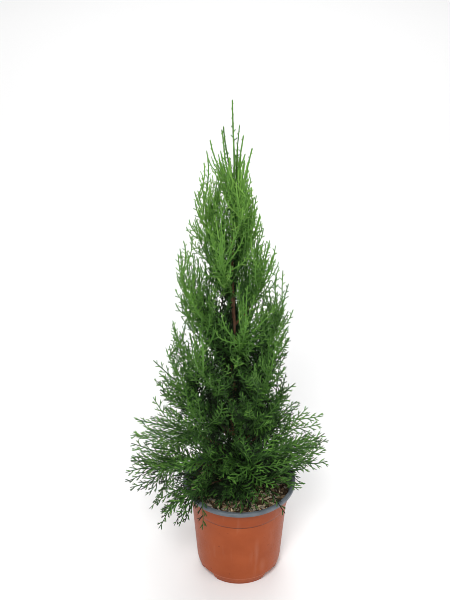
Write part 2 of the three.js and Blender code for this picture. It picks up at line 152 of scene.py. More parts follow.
def make_world(strength):
    """A plain white world."""
    world = bpy.data.worlds.new("studio")
    world.use_nodes = True
    backdrop = world.node_tree.nodes["Background"]
    backdrop.inputs["Color"].default_value = (1, 1, 1, 1)
    backdrop.inputs["Strength"].default_value = strength
    bpy.context.scene.world = world


make_floor()
for lamp in LAMPS:
    make_lamp(**lamp)
make_world(WORLD_STRENGTH)
bpy.context.scene.view_settings.view_transform = "Standard"
bpy.context.scene.cycles.filter_width = FILTER_WIDTH
print("studio: 1 floor,", len(LAMPS), "lamps")

# %% [markdown]
# ## Meshes from arrays
# Every new piece is worked out as whole arrays. A piece is a set of points and some sheets of faces, where
# each sheet has faces with the same number of corners. Adding faces one by one is easier to read, but far
# too slow for a plant, so the arrays go into the mesh in one step each.

# %% A piece from arrays


def piece(name, points, sheets, materials, looks=None, smooth=True):
    """A mesh at the origin. points is (n, 3) in millimetres, and each sheet is an array of corner numbers,
    one row for a face. looks holds, for each sheet, the material number of each of its faces."""
    mesh = bpy.data.meshes.new(name)
    counts = np.concatenate([np.full(len(s), s.shape[1]) for s in sheets])
    corners = np.concatenate([s.ravel() for s in sheets])
    mesh.vertices.add(len(points))
    mesh.vertices.foreach_set("co", (np.asarray(points) * MM).astype(np.float32).ravel())
    mesh.loops.add(len(corners))
    mesh.loops.foreach_set("vertex_index", corners.astype(np.int32))
    mesh.polygons.add(len(counts))
    mesh.polygons.foreach_set("loop_start", (np.cumsum(counts) - counts).astype(np.int32))
    mesh.polygons.foreach_set("use_smooth", np.full(len(counts), smooth))
    if looks is not None:
        mesh.polygons.foreach_set("material_index", np.concatenate(looks).astype(np.int32))
    for material in materials:
        mesh.materials.append(material)
    mesh.update(calc_edges=True)
    mesh.validate()
    made = linked(name, mesh)
    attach(made, "root")
    print(f"{name}: {int((counts - 2).sum())} triangles")
    return made


def unit(vectors):
    """Each vector at length 1."""
    return vectors / np.maximum(np.linalg.norm(vectors, axis=-1, keepdims=True), 1e-9)


def lerp(start, end, share):
    """The value at a share of the way from start to end."""
    return start + (end - start) * share


def circle(count):
    """Equal turns round a circle, in radians."""
    return 2 * np.pi * np.arange(count) / count


# %% Sheets of faces


def ring_quads(rows, count):
    """Quads between neighbouring rows, each of count points and closed round."""
    row, corner = np.meshgrid(np.arange(rows - 1), np.arange(count), indexing="ij")
    here, there = row * count + corner, row * count + (corner + 1) % count
    return np.stack([here, there, there + count, here + count], axis=-1).reshape(-1, 4)


def copied(sheets, count, size):
    """The same faces for each of count copies of a shape with size points."""
    start = (np.arange(count) * size)[:, None, None]
    return [(start + sheet[None]).reshape(-1, sheet.shape[1]) for sheet in sheets]


def joined(parts):
    """Several (points, sheets) as one, with the corner numbers of each moved past the points before it.
    Returns the points, the sheets, and for each sheet the number of the part that it came from."""
    points, sheets, owner, start = [], [], [], 0
    for number, (these, faces) in enumerate(parts):
        points.append(these)
        sheets += [sheet + start for sheet in faces]
        owner += [number] * len(faces)
        start += len(these)
    return np.concatenate(points), sheets, owner


# %% [markdown]
# ## Tubes
# Trunk, boughs, stems and shoots are all tapering tubes. A curve with a bevel would give one of them, but
# here a function makes thousands at once. Each ring is an ellipse square to the tube's line, and the last
# ring closes in a point, the growing tip.

# %% Tapering tubes


def tubes(lines, across, wide, thick, sides, relief=None):
    """Closed tubes along lines (n, m, 3). A corner of a ring is the line's point plus wide times the cosine
    of its turn across the line plus thick times the sine along the normal. across (n, 3) is made square to
    the line at each ring. relief (n, m, sides) multiplies the radius. Returns points and three sheets:
    quads along the tube, the triangles at the tip and the face at the root."""
    n, m, _ = lines.shape
    along = unit(np.gradient(lines, axis=1))
    side = across[:, None, :] - along * np.sum(along * across[:, None, :], axis=2, keepdims=True)
    side = unit(side)
    normal = np.cross(along, side)
    turn = circle(sides)
    out = np.cos(turn)[None, None, :, None] * side[:, :, None, :] * wide[:, :, None, None]
    out = out + np.sin(turn)[None, None, :, None] * normal[:, :, None, :] * thick[:, :, None, None]
    if relief is not None:
        out = out * relief[..., None]
    rings = (lines[:, :, None, :] + out)[:, : m - 1].reshape(n, -1, 3)
    points = np.concatenate([rings, lines[:, -1:, :]], axis=1)
    last = (m - 2) * sides + np.arange(sides)
    tips = np.stack([last, np.roll(last, -1), np.full(sides, (m - 1) * sides)], axis=-1)
    roots = np.arange(sides)[::-1][None, :]
    return points.reshape(-1, 3), copied((ring_quads(m - 1, sides), tips, roots), n, points.shape[1])


# %% [markdown]
# ## The growth rule
# The plant grows by the rule of the CAD source, written again here: a swaying leader, three tiers of
# spreading boughs, and a spiral of upright boughs whose tips lie on a bulging cone. The same seeded stream
# of numbers gives the same boughs, so that every bough is where its CAD limb is. Reading the limbs back
# from the CAD meshes would be harder, and would give no lines to grow along.

# %% Measures of the plant, in millimetres and degrees
POT_HEIGHT, LIP_RADIUS, LIP_WIDTH = 208, 110, 7
SOIL_EDGE, SOIL_TOP, SOIL_PATCH_RADIUS = 185, 191, 18
TRUNK_TOP, CROWN_TOP = 905, 994
TRUNK_ROOT_RADIUS, TRUNK_TIP_RADIUS = 5.8, 1.4
ROOT_FLARE, FLARE_HEIGHT, FLARE_FALL = 3, 22, 0.4
LEAN, LEAN_SHARE = -14, 0.15
SWAY, SWAY_LENGTH, SWAY_START = 2, 0.4, 0.12
TIERS = [
    dict(name="skirt", count=7, bearing=-36, low=207, high=222, reach=190, left=0.2, front=0.42,
         tip=208, leave=28, arrive=-26, bare=0.28, root=2.8),
    dict(name="low", count=6, bearing=-14, low=228, high=262, reach=184, left=0.08, front=0.2,
         tip=312, leave=46, arrive=8, bare=0.26, root=3),
    dict(name="flare", count=5, bearing=14, low=268, high=318, reach=146, left=0.16, front=0.1,
         tip=430, leave=62, arrive=38, bare=0.24, root=3),
]
CONE_COUNT, CONE_LOW, CONE_RADIUS, CONE_BULGE, CONE_LEFT = 18, 474, 122, 0.75, (0.06, 0.36)
CONE_CROWD, CONE_DROP, CONE_LEAVE, CONE_ARRIVE, CONE_ROOT = 0.68, (205, 105), 50, 78, (2.8, 1.7)
SPIRAL_TURN, SPIRAL_START, FORK, FORK_BARE = 137.5, 40, 10, 0.32
BEARING_JITTER, REACH_JITTER, TIP_JITTER = 7, 0.06, 14
FRONT_LIFT, HEIGHT_STEP, ROOT_INSIDE, BOUGH_TAPER, LEADER_ROOT = 26, 0.618, 0.3, 0.75, 1.6
GAP, POT_CLEARANCE, SEED = 0.3, 3, 7
AXIS_POINTS, CURVE_POINTS = 61, 201

# %% The leader


def leader_point(share):
    """The trunk's centre line. It leans by a falling exponential and sways by a sine of the share."""
    share = np.asarray(share, float)
    wave = 2 * np.pi * (share - SWAY_START) / SWAY_LENGTH
    x = LEAN * (1 - np.exp(-share / LEAN_SHARE)) - SWAY * np.sin(wave)
    y = SWAY * np.cos(wave) * share
    return np.stack([x, y, lerp(SOIL_TOP + GAP, CROWN_TOP, share)], axis=-1)


def leader_share(height):
    """The share of the leader's height above the soil."""
    return (height - SOIL_TOP - GAP) / (CROWN_TOP - SOIL_TOP - GAP)


def leader_at(height):
    """The trunk's centre at a height."""
    return leader_point(leader_share(height))


def trunk_radius(height):
    """A straight taper, plus a root flare that falls off exponentially above the soil."""
    share = np.minimum((height - SOIL_TOP) / (TRUNK_TOP - SOIL_TOP), 1)
    flare = ROOT_FLARE * np.exp((SOIL_TOP - height) / (FLARE_FALL * FLARE_HEIGHT))
    return lerp(TRUNK_ROOT_RADIUS, TRUNK_TIP_RADIUS, share) + flare


# %% Lines of boughs


def heading(bearing, rise):
    """A direction from a bearing round the trunk and a rise above level, in degrees."""
    turn, up = np.radians(bearing), np.radians(rise)
    return np.stack([np.cos(turn) * np.cos(up), np.sin(turn) * np.cos(up), np.sin(up) + 0 * turn], axis=-1)


def evenly(line, count):
    """The same line through count points at equal distances along it."""
    gone = np.r_[0, np.cumsum(np.linalg.norm(np.diff(line, axis=0), axis=1))]
    at = np.linspace(0, gone[-1], count)
    return np.stack([np.interp(at, gone, line[:, k]) for k in range(3)], axis=1)


def cubic(start, first, second, end, count):
    """Points of a cubic curve from its two ends and its two handles: their weights are the terms of
    (1 - t) + t to the third power."""
    t = np.linspace(0, 1, count)[:, None]
    begun = (1 - t) ** 3 * start + 3 * (1 - t) ** 2 * t * first
    return begun + 3 * (1 - t) * t**2 * second + t**3 * end


def bough_line(bearing, height, reach, tip_height, leave, arrive):
    """A cubic curve that leaves the trunk at one rise and arrives at its tip at another."""
    level = heading(bearing, 0)
    root = leader_at(height) + level * ROOT_INSIDE * trunk_radius(height)
    tip = leader_at(tip_height) + level * reach
    third = np.linalg.norm(root - tip) / 3
    first, second = root + heading(bearing, leave) * third, tip - heading(bearing, arrive) * third
    return evenly(cubic(root, first, second, tip, CURVE_POINTS), AXIS_POINTS)


# %% All boughs, by the seeded stream


def seeded(seed):
    """A repeatable stream of numbers from 0 to 1: a counter whose 32 bits are mixed by shifts and
    products."""
    bits, state = 0xFFFFFFFF, seed

    def draw():
        nonlocal state
        state = (state + 0x6D2B79F5) & bits
        mixed = ((state ^ (state >> 15)) * (state | 1)) & bits
        mixed ^= (mixed + (mixed ^ (mixed >> 7)) * (mixed | 61)) & bits
        return (mixed ^ (mixed >> 14)) / 4294967296

    return draw


draw = seeded(SEED)


def jitter(size):
    """The next number of the stream, from minus size to size."""
    return size * (2 * draw() - 1)


def cone_radius(height):
    """The upper crown's outline: a power of the share of the height that is left."""
    return CONE_RADIUS * (np.maximum(CROWN_TOP - height, 0) / (CROWN_TOP - CONE_LOW)) ** CONE_BULGE


def tier_axes():
    """The spreading boughs of the lower crown, tier by tier."""
    for tier in TIERS:
        for i in range(tier["count"]):
            bearing = tier["bearing"] + 360 * i / tier["count"] + jitter(BEARING_JITTER)
            height = lerp(tier["low"], tier["high"], (i * HEIGHT_STEP) % 1)
            front = max(0, -math.sin(math.radians(bearing))) ** 2
            left = -tier["left"] * math.cos(math.radians(bearing))
            reach = tier["reach"] * (1 + left - front * tier["front"] + jitter(REACH_JITTER))
            tip = tier["tip"] + front**2 * FRONT_LIFT + jitter(TIP_JITTER)
            line = bough_line(bearing, height, reach, tip, tier["leave"], tier["arrive"])
            yield dict(label=f"{tier['name']}_{i + 1}", line=line, bare=tier["bare"], root=tier["root"])


def cone_axes():
    """The upright boughs of the upper crown, winding up the cone and closer together towards its top."""
    for i in range(CONE_COUNT):
        rise = (i + 0.5) / CONE_COUNT
        tip = CROWN_TOP - (CROWN_TOP - CONE_LOW) * (1 - rise) ** CONE_CROWD
        bearing = SPIRAL_START + SPIRAL_TURN * i + jitter(BEARING_JITTER)
        up = (tip - CONE_LOW) / (CROWN_TOP - CONE_LOW)
        left = -lerp(*CONE_LEFT, up) * math.cos(math.radians(bearing))
        reach = float(cone_radius(tip)) * (1 + left + jitter(REACH_JITTER))
        line = bough_line(bearing, tip - lerp(*CONE_DROP, rise), reach, tip, CONE_LEAVE, CONE_ARRIVE)
        bare = FORK_BARE if i == FORK else 0
        yield dict(label=f"cone_{i + 1}", line=line, bare=bare, root=lerp(*CONE_ROOT, rise))


def leader_axis():
    """The leading shoot that stands on the top of the trunk."""
    heights = np.linspace(TRUNK_TOP + GAP, CROWN_TOP, AXIS_POINTS)
    return dict(label="leader", line=leader_at(heights), bare=0, root=LEADER_ROOT)


AXES = [*tier_axes(), *cone_axes(), leader_axis()]
print("boughs:", len(AXES))

# %% [markdown]
# ## The space of the crown
# The crown of this plant is not quite round: it is fuller on the left, and short at the front, where the
# lowest boughs leave the lip of the pot in view. Its reach to the left and to the right of the leader is
# measured at some heights, and every other bearing lies between the two.

# %% How far the crown reaches
CROWN_HEIGHTS = [150, 210, 252, 300, 348, 394, 462, 506, 571, 655, 735, 812, 870, 905, 940, 994]
CROWN_LEFT = [176, 232, 228, 212, 194, 166, 144, 122, 117, 105, 96, 70, 58, 48, 24, 4]
CROWN_RIGHT = [96, 158, 178, 200, 168, 130, 114, 106, 112, 100, 72, 40, 28, 22, 9, 3]
FRONT_SHARE = [195, 225, 262, 320, 450], [0.44, 0.54, 0.74, 0.85, 1.0]


def crown_sides(height):
    """The reach to the left and to the right at a height."""
    return np.interp(height, CROWN_HEIGHTS, CROWN_LEFT), np.interp(height, CROWN_HEIGHTS, CROWN_RIGHT)


def crown_reach(height, bearing):
    """The reach at a height and a bearing in radians: between left and right by the cosine of the bearing,
    and less by a share towards the front, where the sine is below zero."""
    left, right = crown_sides(height)
    front = np.maximum(0, -np.sin(bearing)) ** 2
    shorter = lerp(1, np.interp(height, *FRONT_SHARE), front)
    return lerp(left, right, (1 + np.cos(bearing)) / 2) * shorter


# %% Places that stay open
WINDOWS, WINDOW_ASIDE, WINDOW_HALF = [(548, 612), (634, 650), (684, 695)], 3, 3.2
SIGHT_SLOPE = 0.6
BARE_SOIL = dict(x=73, y=-10, wide=29, deep=36)
BARE_LIP = dict(x=8, wide=70, y=-86, high=232)


def clear_of_pot(points):
    """True above the soil inside the lip, above the lip over it, and above the ground outside it."""
    out = np.hypot(points[..., 0], points[..., 1])
    floor = np.where(out > LIP_RADIUS + POT_CLEARANCE, 0, POT_HEIGHT)
    floor = np.where(out < LIP_RADIUS - LIP_WIDTH - POT_CLEARANCE, SOIL_TOP, floor)
    return points[..., 2] > floor + POT_CLEARANCE


def in_window(points):
    """True in front of the stretches of trunk that show: the points are slid back to the trunk along the
    line of sight, which falls by SIGHT_SLOPE for each step back, and compared with the trunk there."""
    ahead = np.maximum(leader_at(points[..., 2])[..., 1] - points[..., 1], 0)
    height = points[..., 2] - SIGHT_SLOPE * ahead
    trunk = leader_point(np.clip(leader_share(height), 0, 1))
    near = (np.abs(points[..., 0] - trunk[..., 0] - WINDOW_ASIDE) < WINDOW_HALF) & (ahead > 0)
    return near & np.any([(height > low) & (height < high) for low, high in WINDOWS], axis=0)


def over_bare_soil(points):
    """True in front of the bare soil on the right, which is an ellipse where the line of sight meets the
    soil, and over the front lip, which both stay in view."""
    x, y, z = points[..., 0], points[..., 1], points[..., 2]
    seen = y + (z - SOIL_TOP) / SIGHT_SLOPE
    aside, back = (x - BARE_SOIL["x"]) / BARE_SOIL["wide"], (seen - BARE_SOIL["y"]) / BARE_SOIL["deep"]
    patch = aside**2 + back**2 < 1
    lip = (y < BARE_LIP["y"]) & (np.abs(x - BARE_LIP["x"]) < BARE_LIP["wide"])
    return patch | (lip & (z < BARE_LIP["high"] + SIGHT_SLOPE * np.maximum(0, BARE_LIP["y"] - y)))


def fits(points):
    """True where a twig may grow."""
    return clear_of_pot(points) & ~in_window(points)


# %% [markdown]
# ## Plumes, shoots and shootlets
# A bough carries plumes: long, nearly straight cords with short shoots on both sides, all pointing
# forwards. Long shoots, which grow low down, have shootlets in turn. Every cord is a row of tiny scale
# leaves. Copies of one modelled spray would be quicker, but they would all look alike and few would fit
# their places. So each plume starts from its tip: tips are spread over the crown's outline and in three
# layers inside it, and each tip looks for the place on a bough that it would naturally grow from. A level
# of twigs is a set of arrays, worked out in one step.

# %% Helpers for levels of twigs


def at_share(lines, which, share):
    """The point and the direction at a share of some lines: straight between the two nearest points."""
    place = share * (lines.shape[1] - 1)
    low = np.clip(place.astype(int), 0, lines.shape[1] - 2)
    here, there = lines[which, low], lines[which, low + 1]
    return here + (there - here) * (place - low)[:, None], unit(there - here)


def curved(start, ahead, length, curl, steps):
    """Lines that set out straight ahead and are drawn aside by curl with the square of the share."""
    t = np.linspace(0, 1, steps + 1)[None, :, None]
    return start[:, None, :] + length[:, None, None] * (ahead[:, None, :] * t + curl[:, None, :] * t**2)


def numbered(counts):
    """For counts of children, the parent of each child and the child's place among its own."""
    which = np.repeat(np.arange(len(counts)), counts)
    return which, np.arange(len(which)) - np.repeat(np.cumsum(counts) - counts, counts)


def chosen(level, keep):
    """The twigs of a level that are kept."""
    return {key: values[keep] for key, values in level.items()}


def length_of(lines):
    """The sum of the distances between neighbouring points of each line."""
    return np.linalg.norm(np.diff(lines, axis=1), axis=2).sum(axis=1)


def bearing_of(points):
    """The bearing of each point round the upright axis, in degrees."""
    return np.degrees(np.arctan2(points[:, 1], points[:, 0]))


# %% Stems
SHORTEST_STEM = 8


def bare_end(axis):
    """The number of the point where the bare limb of a bough ends."""
    return int(axis["bare"] * (AXIS_POINTS - 1))


def all_stems():
    """The part of each bough that carries foliage, from the end of its bare limb to its tip, or to where
    it would come over the bare soil."""
    lines = []
    for axis in AXES:
        line = axis["line"][bare_end(axis):]
        over = over_bare_soil(line)
        kept = max(SHORTEST_STEM, over.argmax()) if over.any() else len(line)
        lines.append(evenly(line[:kept], AXIS_POINTS))
    lines, count = np.stack(lines), len(AXES)
    return dict(lines=lines, length=length_of(lines), axis=np.arange(count), outer=np.ones(count),
                lone=np.zeros(count, bool), luck=np.random.default_rng(SEED + 20).random(count))


# %% Where the tips of plumes are
LAYERS = [
    dict(share=0.9, vary=0.1, count=430, top=900, openness=1.0),
    dict(share=0.64, vary=0.14, count=365, top=890, openness=1.15),
    dict(share=0.4, vary=0.16, count=330, top=870, openness=0.9),
    dict(share=0.18, vary=0.1, count=190, top=830, openness=0.6),
]
LOWEST_TIP, LEVELS, CORE, LAYER_TURN, STEEPEST = 166, 400, 22, 120, 86
BEARING_LUCK, RISE_LUCK, INNER_RISE, PATCH_LUCK = 12, 7, 30, 10
LAYER_LONG_LUCK, PATCH_LONG_LUCK = (0.75, 1.15), (0.75, 1.25)
RISE = [165, 190, 215, 260, 310, 400, 474, 600, 994], [-46, -34, -20, 0, 24, 56, 65, 71, 82]
LONG = [165, 200, 230, 300, 474, 700, 900, 994], [66, 80, 120, 120, 100, 86, 76, 70]
OPEN = [200, 220, 320, 460, 560], [1.2, 0.38, 0.3, 0.7, 2.0]
TURN_LUCK = [300, 480], [24, 14]
PATCHES = [
    dict(count=50, x=(-88, 30), y=(-84, -44), z=(199, 226), rise=-8, outer=0.45, long=80),
    dict(count=18, x=(55, 105), y=(-5, 40), z=(205, 235), rise=2, outer=0.55, long=80),
    dict(count=36, x=(-46, 46), y=(-122, -55), z=(380, 540), rise=62, outer=0.66, long=100),
    dict(count=14, x=(-58, -26), y=(-24, 24), z=(820, 900), rise=80, outer=0.9, long=80),
    dict(count=14, x=(-214, -160), y=(-40, 40), z=(262, 318), rise=12, outer=0.9, long=120),
    dict(count=12, x=(-160, -126), y=(-30, 30), z=(390, 455), rise=50, outer=0.92, long=110),
    dict(count=10, x=(-114, -92), y=(-30, 30), z=(580, 650), rise=76, outer=0.92, long=90),
    dict(count=9, x=(140, 176), y=(-30, 30), z=(268, 320), rise=24, outer=0.92, long=120),
    dict(count=26, x=(-70, 40), y=(-112, -58), z=(238, 335), rise=10, outer=0.74, long=105),
    dict(count=44, x=(-70, 60), y=(46, 128), z=(340, 540), rise=60, outer=0.68, long=100),
    dict(count=34, x=(-100, 90), y=(64, 160), z=(226, 335), rise=12, outer=0.7, long=110),
    dict(count=16, x=(52, 104), y=(-20, 70), z=(340, 500), rise=58, outer=0.72, long=100),
    dict(count=16, x=(-118, -66), y=(-20, 70), z=(340, 500), rise=58, outer=0.72, long=100),
]
LONE_LONG, LONE_OUTER = (120, 80), (1, 0.8)
LONE_TIPS = [
    (11, -6, 952, 84), (-16, 8, 944, 86), (17, 10, 927, 80), (-39, -4, 925, 82), (31, -8, 912, 76),
    (-46, 6, 901, 80), (-8, -22, 902, 80), (6, 24, 894, 80), (-20, 30, 880, 78), (14, -30, 890, 76),
    (-71, -115, 175, -72), (-156, -85, 152, -48), (-126, -90, 163, -52), (-116, -100, 170, -56),
    (-105, -100, 180, -58), (-150, -60, 168, -44), (-176, -40, 163, -40), (-168, -45, 184, -34),
    (-185, -20, 180, -30), (-195, 0, 178, -28), (86, -104, 206, -24), (-224, -10, 206, -14),
    (109, -32, 216, 6), (-24, -92, 203, -34), (8, -98, 207, -30), (32, -92, 204, -30), (118, 6, 228, -4),
    (114, -16, 224, -4), (122, 30, 232, 0), (-44, -84, 204, -30), (-8, -95, 203, -36), (20, -94, 203, -34),
    (52, -82, 205, -24), (4, -112, 214, -22),
]

# %% Tips of plumes


def layer_tips(rng, number, share, vary, count, top, openness):
    """The tips of a layer wind round the leader by the golden angle, at a share of the crown's reach. Their
    heights follow a running sum of the outline, so that a height with a larger outline has more of them,
    but the crown is more open low down. A tip's rise above level comes from its height."""
    levels = np.linspace(LOWEST_TIP, top, LEVELS)
    left, right = crown_sides(levels)
    around = 0.5 * (left + right)
    crowd = np.cumsum((around * share + CORE) * np.interp(levels, *OPEN) ** openness)
    height = np.interp((np.arange(count) + rng.random(count)) / count, crowd / crowd[-1], levels)
    bearing = SPIRAL_TURN * np.arange(count) + LAYER_TURN * number + BEARING_LUCK * rng.normal(size=count)
    bearing = np.radians(bearing)
    outer = share + vary * rng.uniform(-1, 1, count)
    rise = np.interp(height, *RISE) + INNER_RISE * (1 - share) + RISE_LUCK * rng.normal(size=count)
    turn = np.degrees(bearing) + np.interp(height, *TURN_LUCK) * rng.normal(size=count)
    reach = (outer * crown_reach(height, bearing))[:, None]
    tips = leader_at(height) + heading(np.degrees(bearing), 0) * reach
    wished = np.interp(height, *LONG) * rng.uniform(*LAYER_LONG_LUCK, count)
    return tips, heading(turn, np.minimum(rise, STEEPEST)), wished, outer, np.zeros(count, bool)


def lone_tips():
    """The thin cords at the top, whose places are measured from the leader, and some that droop past the
    pot. Each points away from the axis, at its own rise."""
    lone = np.array(LONE_TIPS, float)
    high = lone[:, 2] > CONE_LOW
    shift = np.where(high[:, None], leader_at(lone[:, 2]) * [1, 1, 0], 0)
    aheads = heading(bearing_of(lone), lone[:, 3])
    wished, outer = np.where(high, *LONE_LONG), np.where(high, *LONE_OUTER)
    return lone[:, :3] + shift, aheads, wished, outer, np.ones(len(lone), bool)


def patch_tips(rng, count, x, y, z, rise, outer, long):
    """Tips spread evenly in a box, to fill an apron of low sprays at the front and places that are thin."""
    tips = np.stack([rng.uniform(*side, count) for side in (x, y, z)], axis=1)
    aheads = heading(bearing_of(tips), rise + PATCH_LUCK * rng.normal(size=count))
    wished = long * rng.uniform(*PATCH_LONG_LUCK, count)
    return tips, aheads, wished, np.full(count, outer), np.zeros(count, bool)


def plume_tips():
    """All tips: their places, directions, wished lengths, shares of the reach, and which are lone."""
    rng = np.random.default_rng(SEED + 10)
    groups = [layer_tips(rng, number, **layer) for number, layer in enumerate(LAYERS)]
    groups.append(lone_tips())
    groups += [patch_tips(rng, **patch) for patch in PATCHES]
    return [np.concatenate(arrays) for arrays in zip(*groups)]


# %% Plumes grown from their boughs
PLUME_STEPS, LONGEST_PLUME, ARCH = 24, 230, np.array([0, 0, 0.7])
BEND_COST, LEAVE_COST, LUCK_COST = 1.2, 0.5, 0.15
ALONG_STEM, STRAIGHTEN, FIRST_HANDLE, LAST_HANDLE = 0.6, 0.6, 0.32, 0.42
ROOT_PLACES = slice(2, -6, 2)
FREE_FROM = 4


def plumes_on(stems):
    """The root of a plume is the point of a stem that costs least: the cost rises with the difference from
    the wished length, and with the turn from the stem to the plume and along the plume. The line is a cubic
    curve that first spreads away from the stem, and then turns to arrive as the tip asks. A plume with a
    tip below the lip sets out upwards, so that it arches over the lip."""
    rng = np.random.default_rng(SEED + 11)
    tips, aheads, wished, outer, lone = plume_tips()
    roots = stems["lines"][:, ROOT_PLACES]
    along = unit(np.gradient(stems["lines"], axis=1))[:, ROOT_PLACES]
    per_stem = roots.shape[1]
    roots, along = roots.reshape(-1, 3), along.reshape(-1, 3)
    gap = tips[:, None, :] - roots[None]
    far = np.linalg.norm(gap, axis=2)
    towards = gap / np.maximum(far, 1)[..., None]
    bend = 1 - np.sum(towards * aheads[:, None, :], axis=2)
    leave = 1 - np.sum(towards * along[None], axis=2)
    cost = np.abs(far - wished[:, None]) / wished[:, None] + BEND_COST * bend
    cost = cost + LEAVE_COST * leave + LUCK_COST * rng.random(far.shape)
    best = cost.argmin(axis=1)
    start = roots[best]
    length = far[np.arange(len(tips)), best][:, None]
    aside = tips - start
    aside = unit(aside - STRAIGHTEN * aheads * np.sum(aside * aheads, axis=1, keepdims=True))
    leaving = unit(ALONG_STEM * along[best] + aside + ARCH * (tips[:, 2:] < POT_HEIGHT))
    first, second = start + leaving * (FIRST_HANDLE * length), tips - aheads * (LAST_HANDLE * length)
    lines = cubic(start[:, None], first[:, None], second[:, None], tips[:, None], PLUME_STEPS + 1)
    level = dict(lines=lines, length=length_of(lines), axis=best // per_stem, outer=outer, lone=lone,
                 luck=rng.random(len(tips)))
    over = over_bare_soil(lines[:, PLUME_STEPS // 2:]).any(axis=1)
    good = fits(lines[:, FREE_FROM:]).all(axis=1) & (lone | ~over)
    print("plumes left out:", int((~good).sum()), "lone ones:", int((lone & ~good).sum()))
    return chosen(level, good & (level["length"] < LONGEST_PLUME))


# %% Twigs along the twigs of the level before
LIGHT_LEVEL, LIGHT_DOWN, SPRAY_ROLL = ([300, 480], [0.5, 0.9]), 0.7, 48
STEP_LUCK, ANGLE_LUCK, LENGTH_LUCK = 0.4, 4, (0.8, 1.15)
CURL, CURL_LUCK, SHORTEST_TWIG = -0.16, 0.02, 2


def plane_of(lines, seed):
    """A direction across each line for its spray, square to the light and the line, so that the flat side
    of the spray is turned to the light, and rolled about the line by some luck. The light falls from above
    on the low sprays, and more from the front on the high ones."""
    along = unit(lines[:, -1] - lines[:, 0])
    height = lines[:, -1, 2]
    light = np.stack([0 * height, -np.interp(height, *LIGHT_LEVEL), LIGHT_DOWN + 0 * height], axis=1)
    side = unit(np.cross(light, along))
    roll = np.radians(SPRAY_ROLL * np.random.default_rng(seed).uniform(-1, 1, len(lines)))[:, None]
    return side * np.cos(roll) + np.cross(along, side) * np.sin(roll)


def side_twigs(parent, first, last, widen, tiny, tilts, steps, seed):
    """Twigs on alternate sides of each parent line, at the parent's pitch and angle. A twig's length is the
    parent's shortest where its bare end begins and widens with the distance from there, up to its longest.
    On the bare end it is tiny. A twig curves forwards as it grows."""
    rng = np.random.default_rng(seed)
    counts = np.floor(parent["length"] * (last - first) / parent["pitch"]).astype(int)
    which, k = numbered(counts)
    share = lerp(first, last, (k + STEP_LUCK * rng.random(len(k))) / counts[which])
    start, along = at_share(parent["lines"], which, share)
    wide = parent["wide"][which]
    wide = unit(wide - along * np.sum(wide * along, axis=1, keepdims=True))
    normal = np.cross(along, wide)
    hand = np.where(k % 2, 1.0, -1.0)[:, None]
    tilt = np.radians(tilts * rng.normal(size=len(k)))[:, None]
    across = hand * wide * np.cos(tilt) + normal * np.sin(tilt)
    turn = np.radians(parent["angle"][which] + ANGLE_LUCK * rng.normal(size=len(k)))[:, None]
    ahead = along * np.cos(turn) + across * np.sin(turn)
    left = (1 - share) * parent["length"][which] - parent["bare"][which]
    length = np.clip(parent["shortest"][which] + widen * left, tiny, parent["longest"][which])
    length = length * rng.uniform(*LENGTH_LUCK, len(k))
    curl = CURL * across + CURL_LUCK * rng.normal(size=(len(k), 3))
    level = dict(lines=curved(start, ahead, length, curl, steps), length=length, share=share, parent=which,
                 lone=parent["lone"][which], wide=unit(np.cross(normal, ahead)))
    tips = level["lines"][:, -1]
    return chosen(level, fits(tips) & (level["lone"] | ~over_bare_soil(tips)) & (length > SHORTEST_TWIG))


# %% Shoots along stems and plumes, and shootlets along the shoots
SHOOT_MEASURES = dict(
    longest=([330, 420, 520, 600, 900], [29, 24, 16, 12.5, 10]),
    shortest=([330, 600, 900], [10, 5.5, 4.5]),
    bare=([860, 905, 994], [2, 34, 46]),
    pitch=([220, 330, 474, 600], [7.4, 7.0, 7.0, 7.4]),
    angle=([330, 520], [40, 50]),
)
FRINGE = dict(longer=3, outer=0.8, below=400)
SHOOTLET_MEASURES = dict(bare=4.0, pitch=7.6, shortest=6.0, angle=36.0)
LONGEST_SHOOTLET = [400, 600], [13, 7]


def carriers_of(stems, plumes):
    """Stems and plumes as one level, with the measures of their shoots by the height of the tip. On the
    outer fringe low down the shoots are longer."""
    level = {key: np.concatenate([stems[key], plumes[key]]) for key in plumes}
    level["wide"] = plane_of(level["lines"], SEED + 12)
    heights = level["lines"][:, -1, 2]
    for key, table in SHOOT_MEASURES.items():
        level[key] = np.interp(heights, *table)
    fringe = (level["outer"] > FRINGE["outer"]) & (heights < FRINGE["below"])
    level["shortest"] = level["shortest"] + FRINGE["longer"] * fringe
    return level


stems = all_stems()
plumes = plumes_on(stems)
as_plumes = np.linspace(0, AXIS_POINTS - 1, PLUME_STEPS + 1).astype(int)
carriers = carriers_of({**stems, "lines": stems["lines"][:, as_plumes]}, plumes)
shoots = side_twigs(carriers, first=0.14, last=0.97, widen=0.28, tiny=4.2, tilts=7, steps=4, seed=SEED + 1)
for key, value in SHOOTLET_MEASURES.items():
    shoots[key] = np.full(len(shoots["length"]), value)
shoots["longest"] = np.interp(shoots["lines"][:, -1, 2], *LONGEST_SHOOTLET)
shootlets = side_twigs(shoots, first=0.3, last=0.85, widen=0.45, tiny=0, tilts=6, steps=2, seed=SEED + 2)
for title, level in dict(plumes=plumes, shoots=shoots, shootlets=shootlets).items():
    print(f"{title}:", len(level["length"]))

# %% [markdown]
# ## Finishes
# Small helpers build node trees. An effect that several finishes share is a node group: a mottle of two
# sizes of noise, used by all of them, and streaks that run upright, used by plastic and bark. Copying the
# nodes into each material would work as well, but a group keeps them the same everywhere.

# %% Node helpers
MIX_LOW, MIX_HIGH, MIX_RESULT = 6, 7, 2


